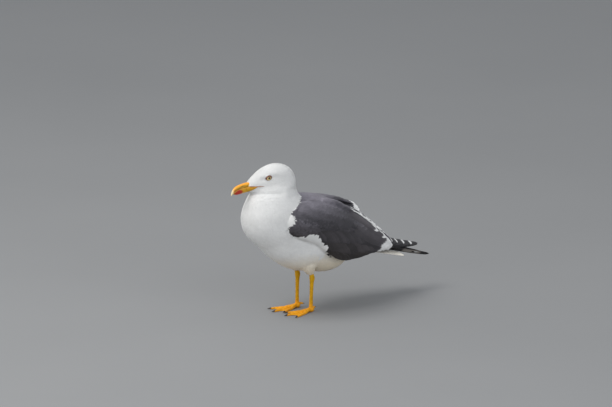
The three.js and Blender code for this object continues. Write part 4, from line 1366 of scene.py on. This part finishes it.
def leg_finish(name, scale, squash):
    """Horny plates, orange on the foot and yellower up the leg."""
    made, tree, shader = finish(name, 0.5, Specular_IOR_Level=0.22)
    place = object_place(tree)
    high = ranged(tree, wire(tree, "SeparateXYZ", {0: place}).outputs["Z"], 0.0, 0.085, 0, 1)
    plates = wire(tree, "TexVoronoi", {"Vector": stretched(tree, place, squash), "Scale": scale},
                  feature="DISTANCE_TO_EDGE").outputs["Distance"]
    colour = ramp(tree, high, (0, (0.84, 0.36, 0.008)), (0.12, (0.83, 0.35, 0.008)),
                  (0.25, (0.65, 0.33, 0.004)), (1, (0.66, 0.36, 0.003)))
    groove = ranged(tree, plates, 0.0, 0.09, 0.74, 1.04)
    tone = ranged(tree, noise(tree, place, 160.0, 4.0), 0.3, 0.7, 0.82, 1.12)
    colour = toned(tree, colour, maths(tree, "MULTIPLY", groove, tone))
    shade_colour(tree, shader, colour, groove, strength=0.6, depth=0.0004)
    return made


shank_skin = leg_finish("leg_plates", 330.0, (1.0, 1.0, 0.8))
foot_skin = leg_finish("foot_scales", 620.0, (1.0, 1.0, 1.0))


def toe_way(side, degrees):
    way = math.radians(side * (degrees - 2))
    return np.array([math.sin(way), -math.cos(way), 0])


def toe_end(side, toe):
    """The way from the foot's root to the toe's end."""
    way, share, _ = TOES[toe]
    return toe_way(side, way) * MIDDLE_TOE * share


def toe_stations(side, toe):
    made = []
    for at in np.linspace(0, 1, 21):
        knob = sum(math.exp(-(((at - joint) / 0.07) ** 2)) for joint in TOES[toe][2])
        deep = 4.1 + (2.1 - 4.1) * at**0.8 + 0.5 * knob
        x, y, _ = FOOT_ROOT * np.array([side, 1, 1]) + toe_end(side, toe) * at
        made.append([x, y, 5.6 + (1.7 - 5.6) * min(at * 2.2, 1) + 0.1, deep * 0.84, deep * 0.95])
    x, y, z, wide, deep = made[-1]
    ahead = toe_way(side, TOES[toe][0]) * 1.6
    return made + [[x + ahead[0], y + ahead[1], z, wide * 0.5, deep * 0.5]]


def web(side, toe, next_toe):
    """The sheet between two toes: thin, sagging a little, its front edge drawn back."""
    one, two = toe_end(side, toe) * 0.93, toe_end(side, next_toe) * 0.93
    bm = bmesh.new()
    bmesh.ops.create_grid(bm, x_segments=40, y_segments=60, size=0.5)
    for vert in bm.verts:
        s, t = vert.co.x + 0.5, vert.co.y + 0.5
        middle = math.sin(math.pi * s)
        x, y, _ = FOOT_ROOT * np.array([side, 1, 1]) + (one * (1 - s) + two * s) * (t * (1 - 0.17 * middle))
        vert.co = (x, y, 2.0 + 1.6 * (1 - t) - 0.35 * middle * t + 0.12 * math.sin(t * 40) * middle)
    bmesh.ops.remove_doubles(bm, verts=bm.verts, dist=0.01)
    bmesh.ops.recalc_face_normals(bm, faces=bm.faces)
    bmesh.ops.solidify(bm, geom=bm.faces[:], thickness=1.5)
    return bm


for name, side in SIDES.items():
    shank = piece_of("leg_" + name, [limb(32, 110, sided(side, SHANK))])
    place_piece(shank, shank_skin, ["shank_" + name])

    parts = [limb(20, 60, toe_stations(side, toe)) for toe in TOES]
    parts += [web(side, "inner", "middle"), web(side, "middle", "outer"), limb(16, 24, sided(side, HIND_TOE))]
    ball = bmesh.new()
    lay = Matrix.Translation((side * LEG_OUT, 0.4, 5.4)) @ Matrix.Diagonal((5.4, 6.8, 5.8, 1))
    bmesh.ops.create_icosphere(ball, subdivisions=4, radius=1, matrix=lay)
    foot = remeshed(piece_of("webbed_foot_" + name, [*parts, ball]), voxel=0.62, smoothing=3)
    set_spots(foot.data, np.maximum(spots_of(foot.data), (-np.inf, -np.inf, 0)))
    place_piece(foot, foot_skin, ["foot_" + name])

# ---- Claws --------------------------------------------------------------------------------------
# Short dark horny claws that curve down from the ends of the toes: three in front and a smaller one
# on the raised hind toe.

NAIL = ((-0.3, 0.2, 1, 1), (0.15, 0.4, 0.9, 1), (0.65, -0.1, 0.5, 0.6))  # along, up, breadth and depth
claw_finish = mottled("claw_surface", 0.38, 500.0, 3.0, (0.012, 0.009, 0.007), (0.05, 0.035, 0.025))
for name, side in SIDES.items():
    claws = {}  # root, way, length, thickness and height of each
    for toe, (way, *_) in TOES.items():
        claws[toe] = FOOT_ROOT * np.array([side, 1, 1]) + toe_end(side, toe), toe_way(side, way), 8, 1.5, 1.9
    claws["hind"] = np.array([side * 19, 12, 0]), np.array([-side * 0.2, 0.98, 0]), 3.6, 0.95, 7
    for toe, (root, ahead, long, thick, height) in claws.items():
        spot = lambda along, up: [*(root + ahead * long * along)[:2], height + up]
        stations = [[*spot(along, up), thick * wide, thick * deep] for along, up, wide, deep in NAIL]
        stations.append([*spot(1, -0.62), 0.15, 0.15])
        nail = piece_of("nail_" + toe + "_" + name, [limb(16, 18, stations)])
        place_piece(nail, claw_finish, ["claw_" + toe + "_" + name])
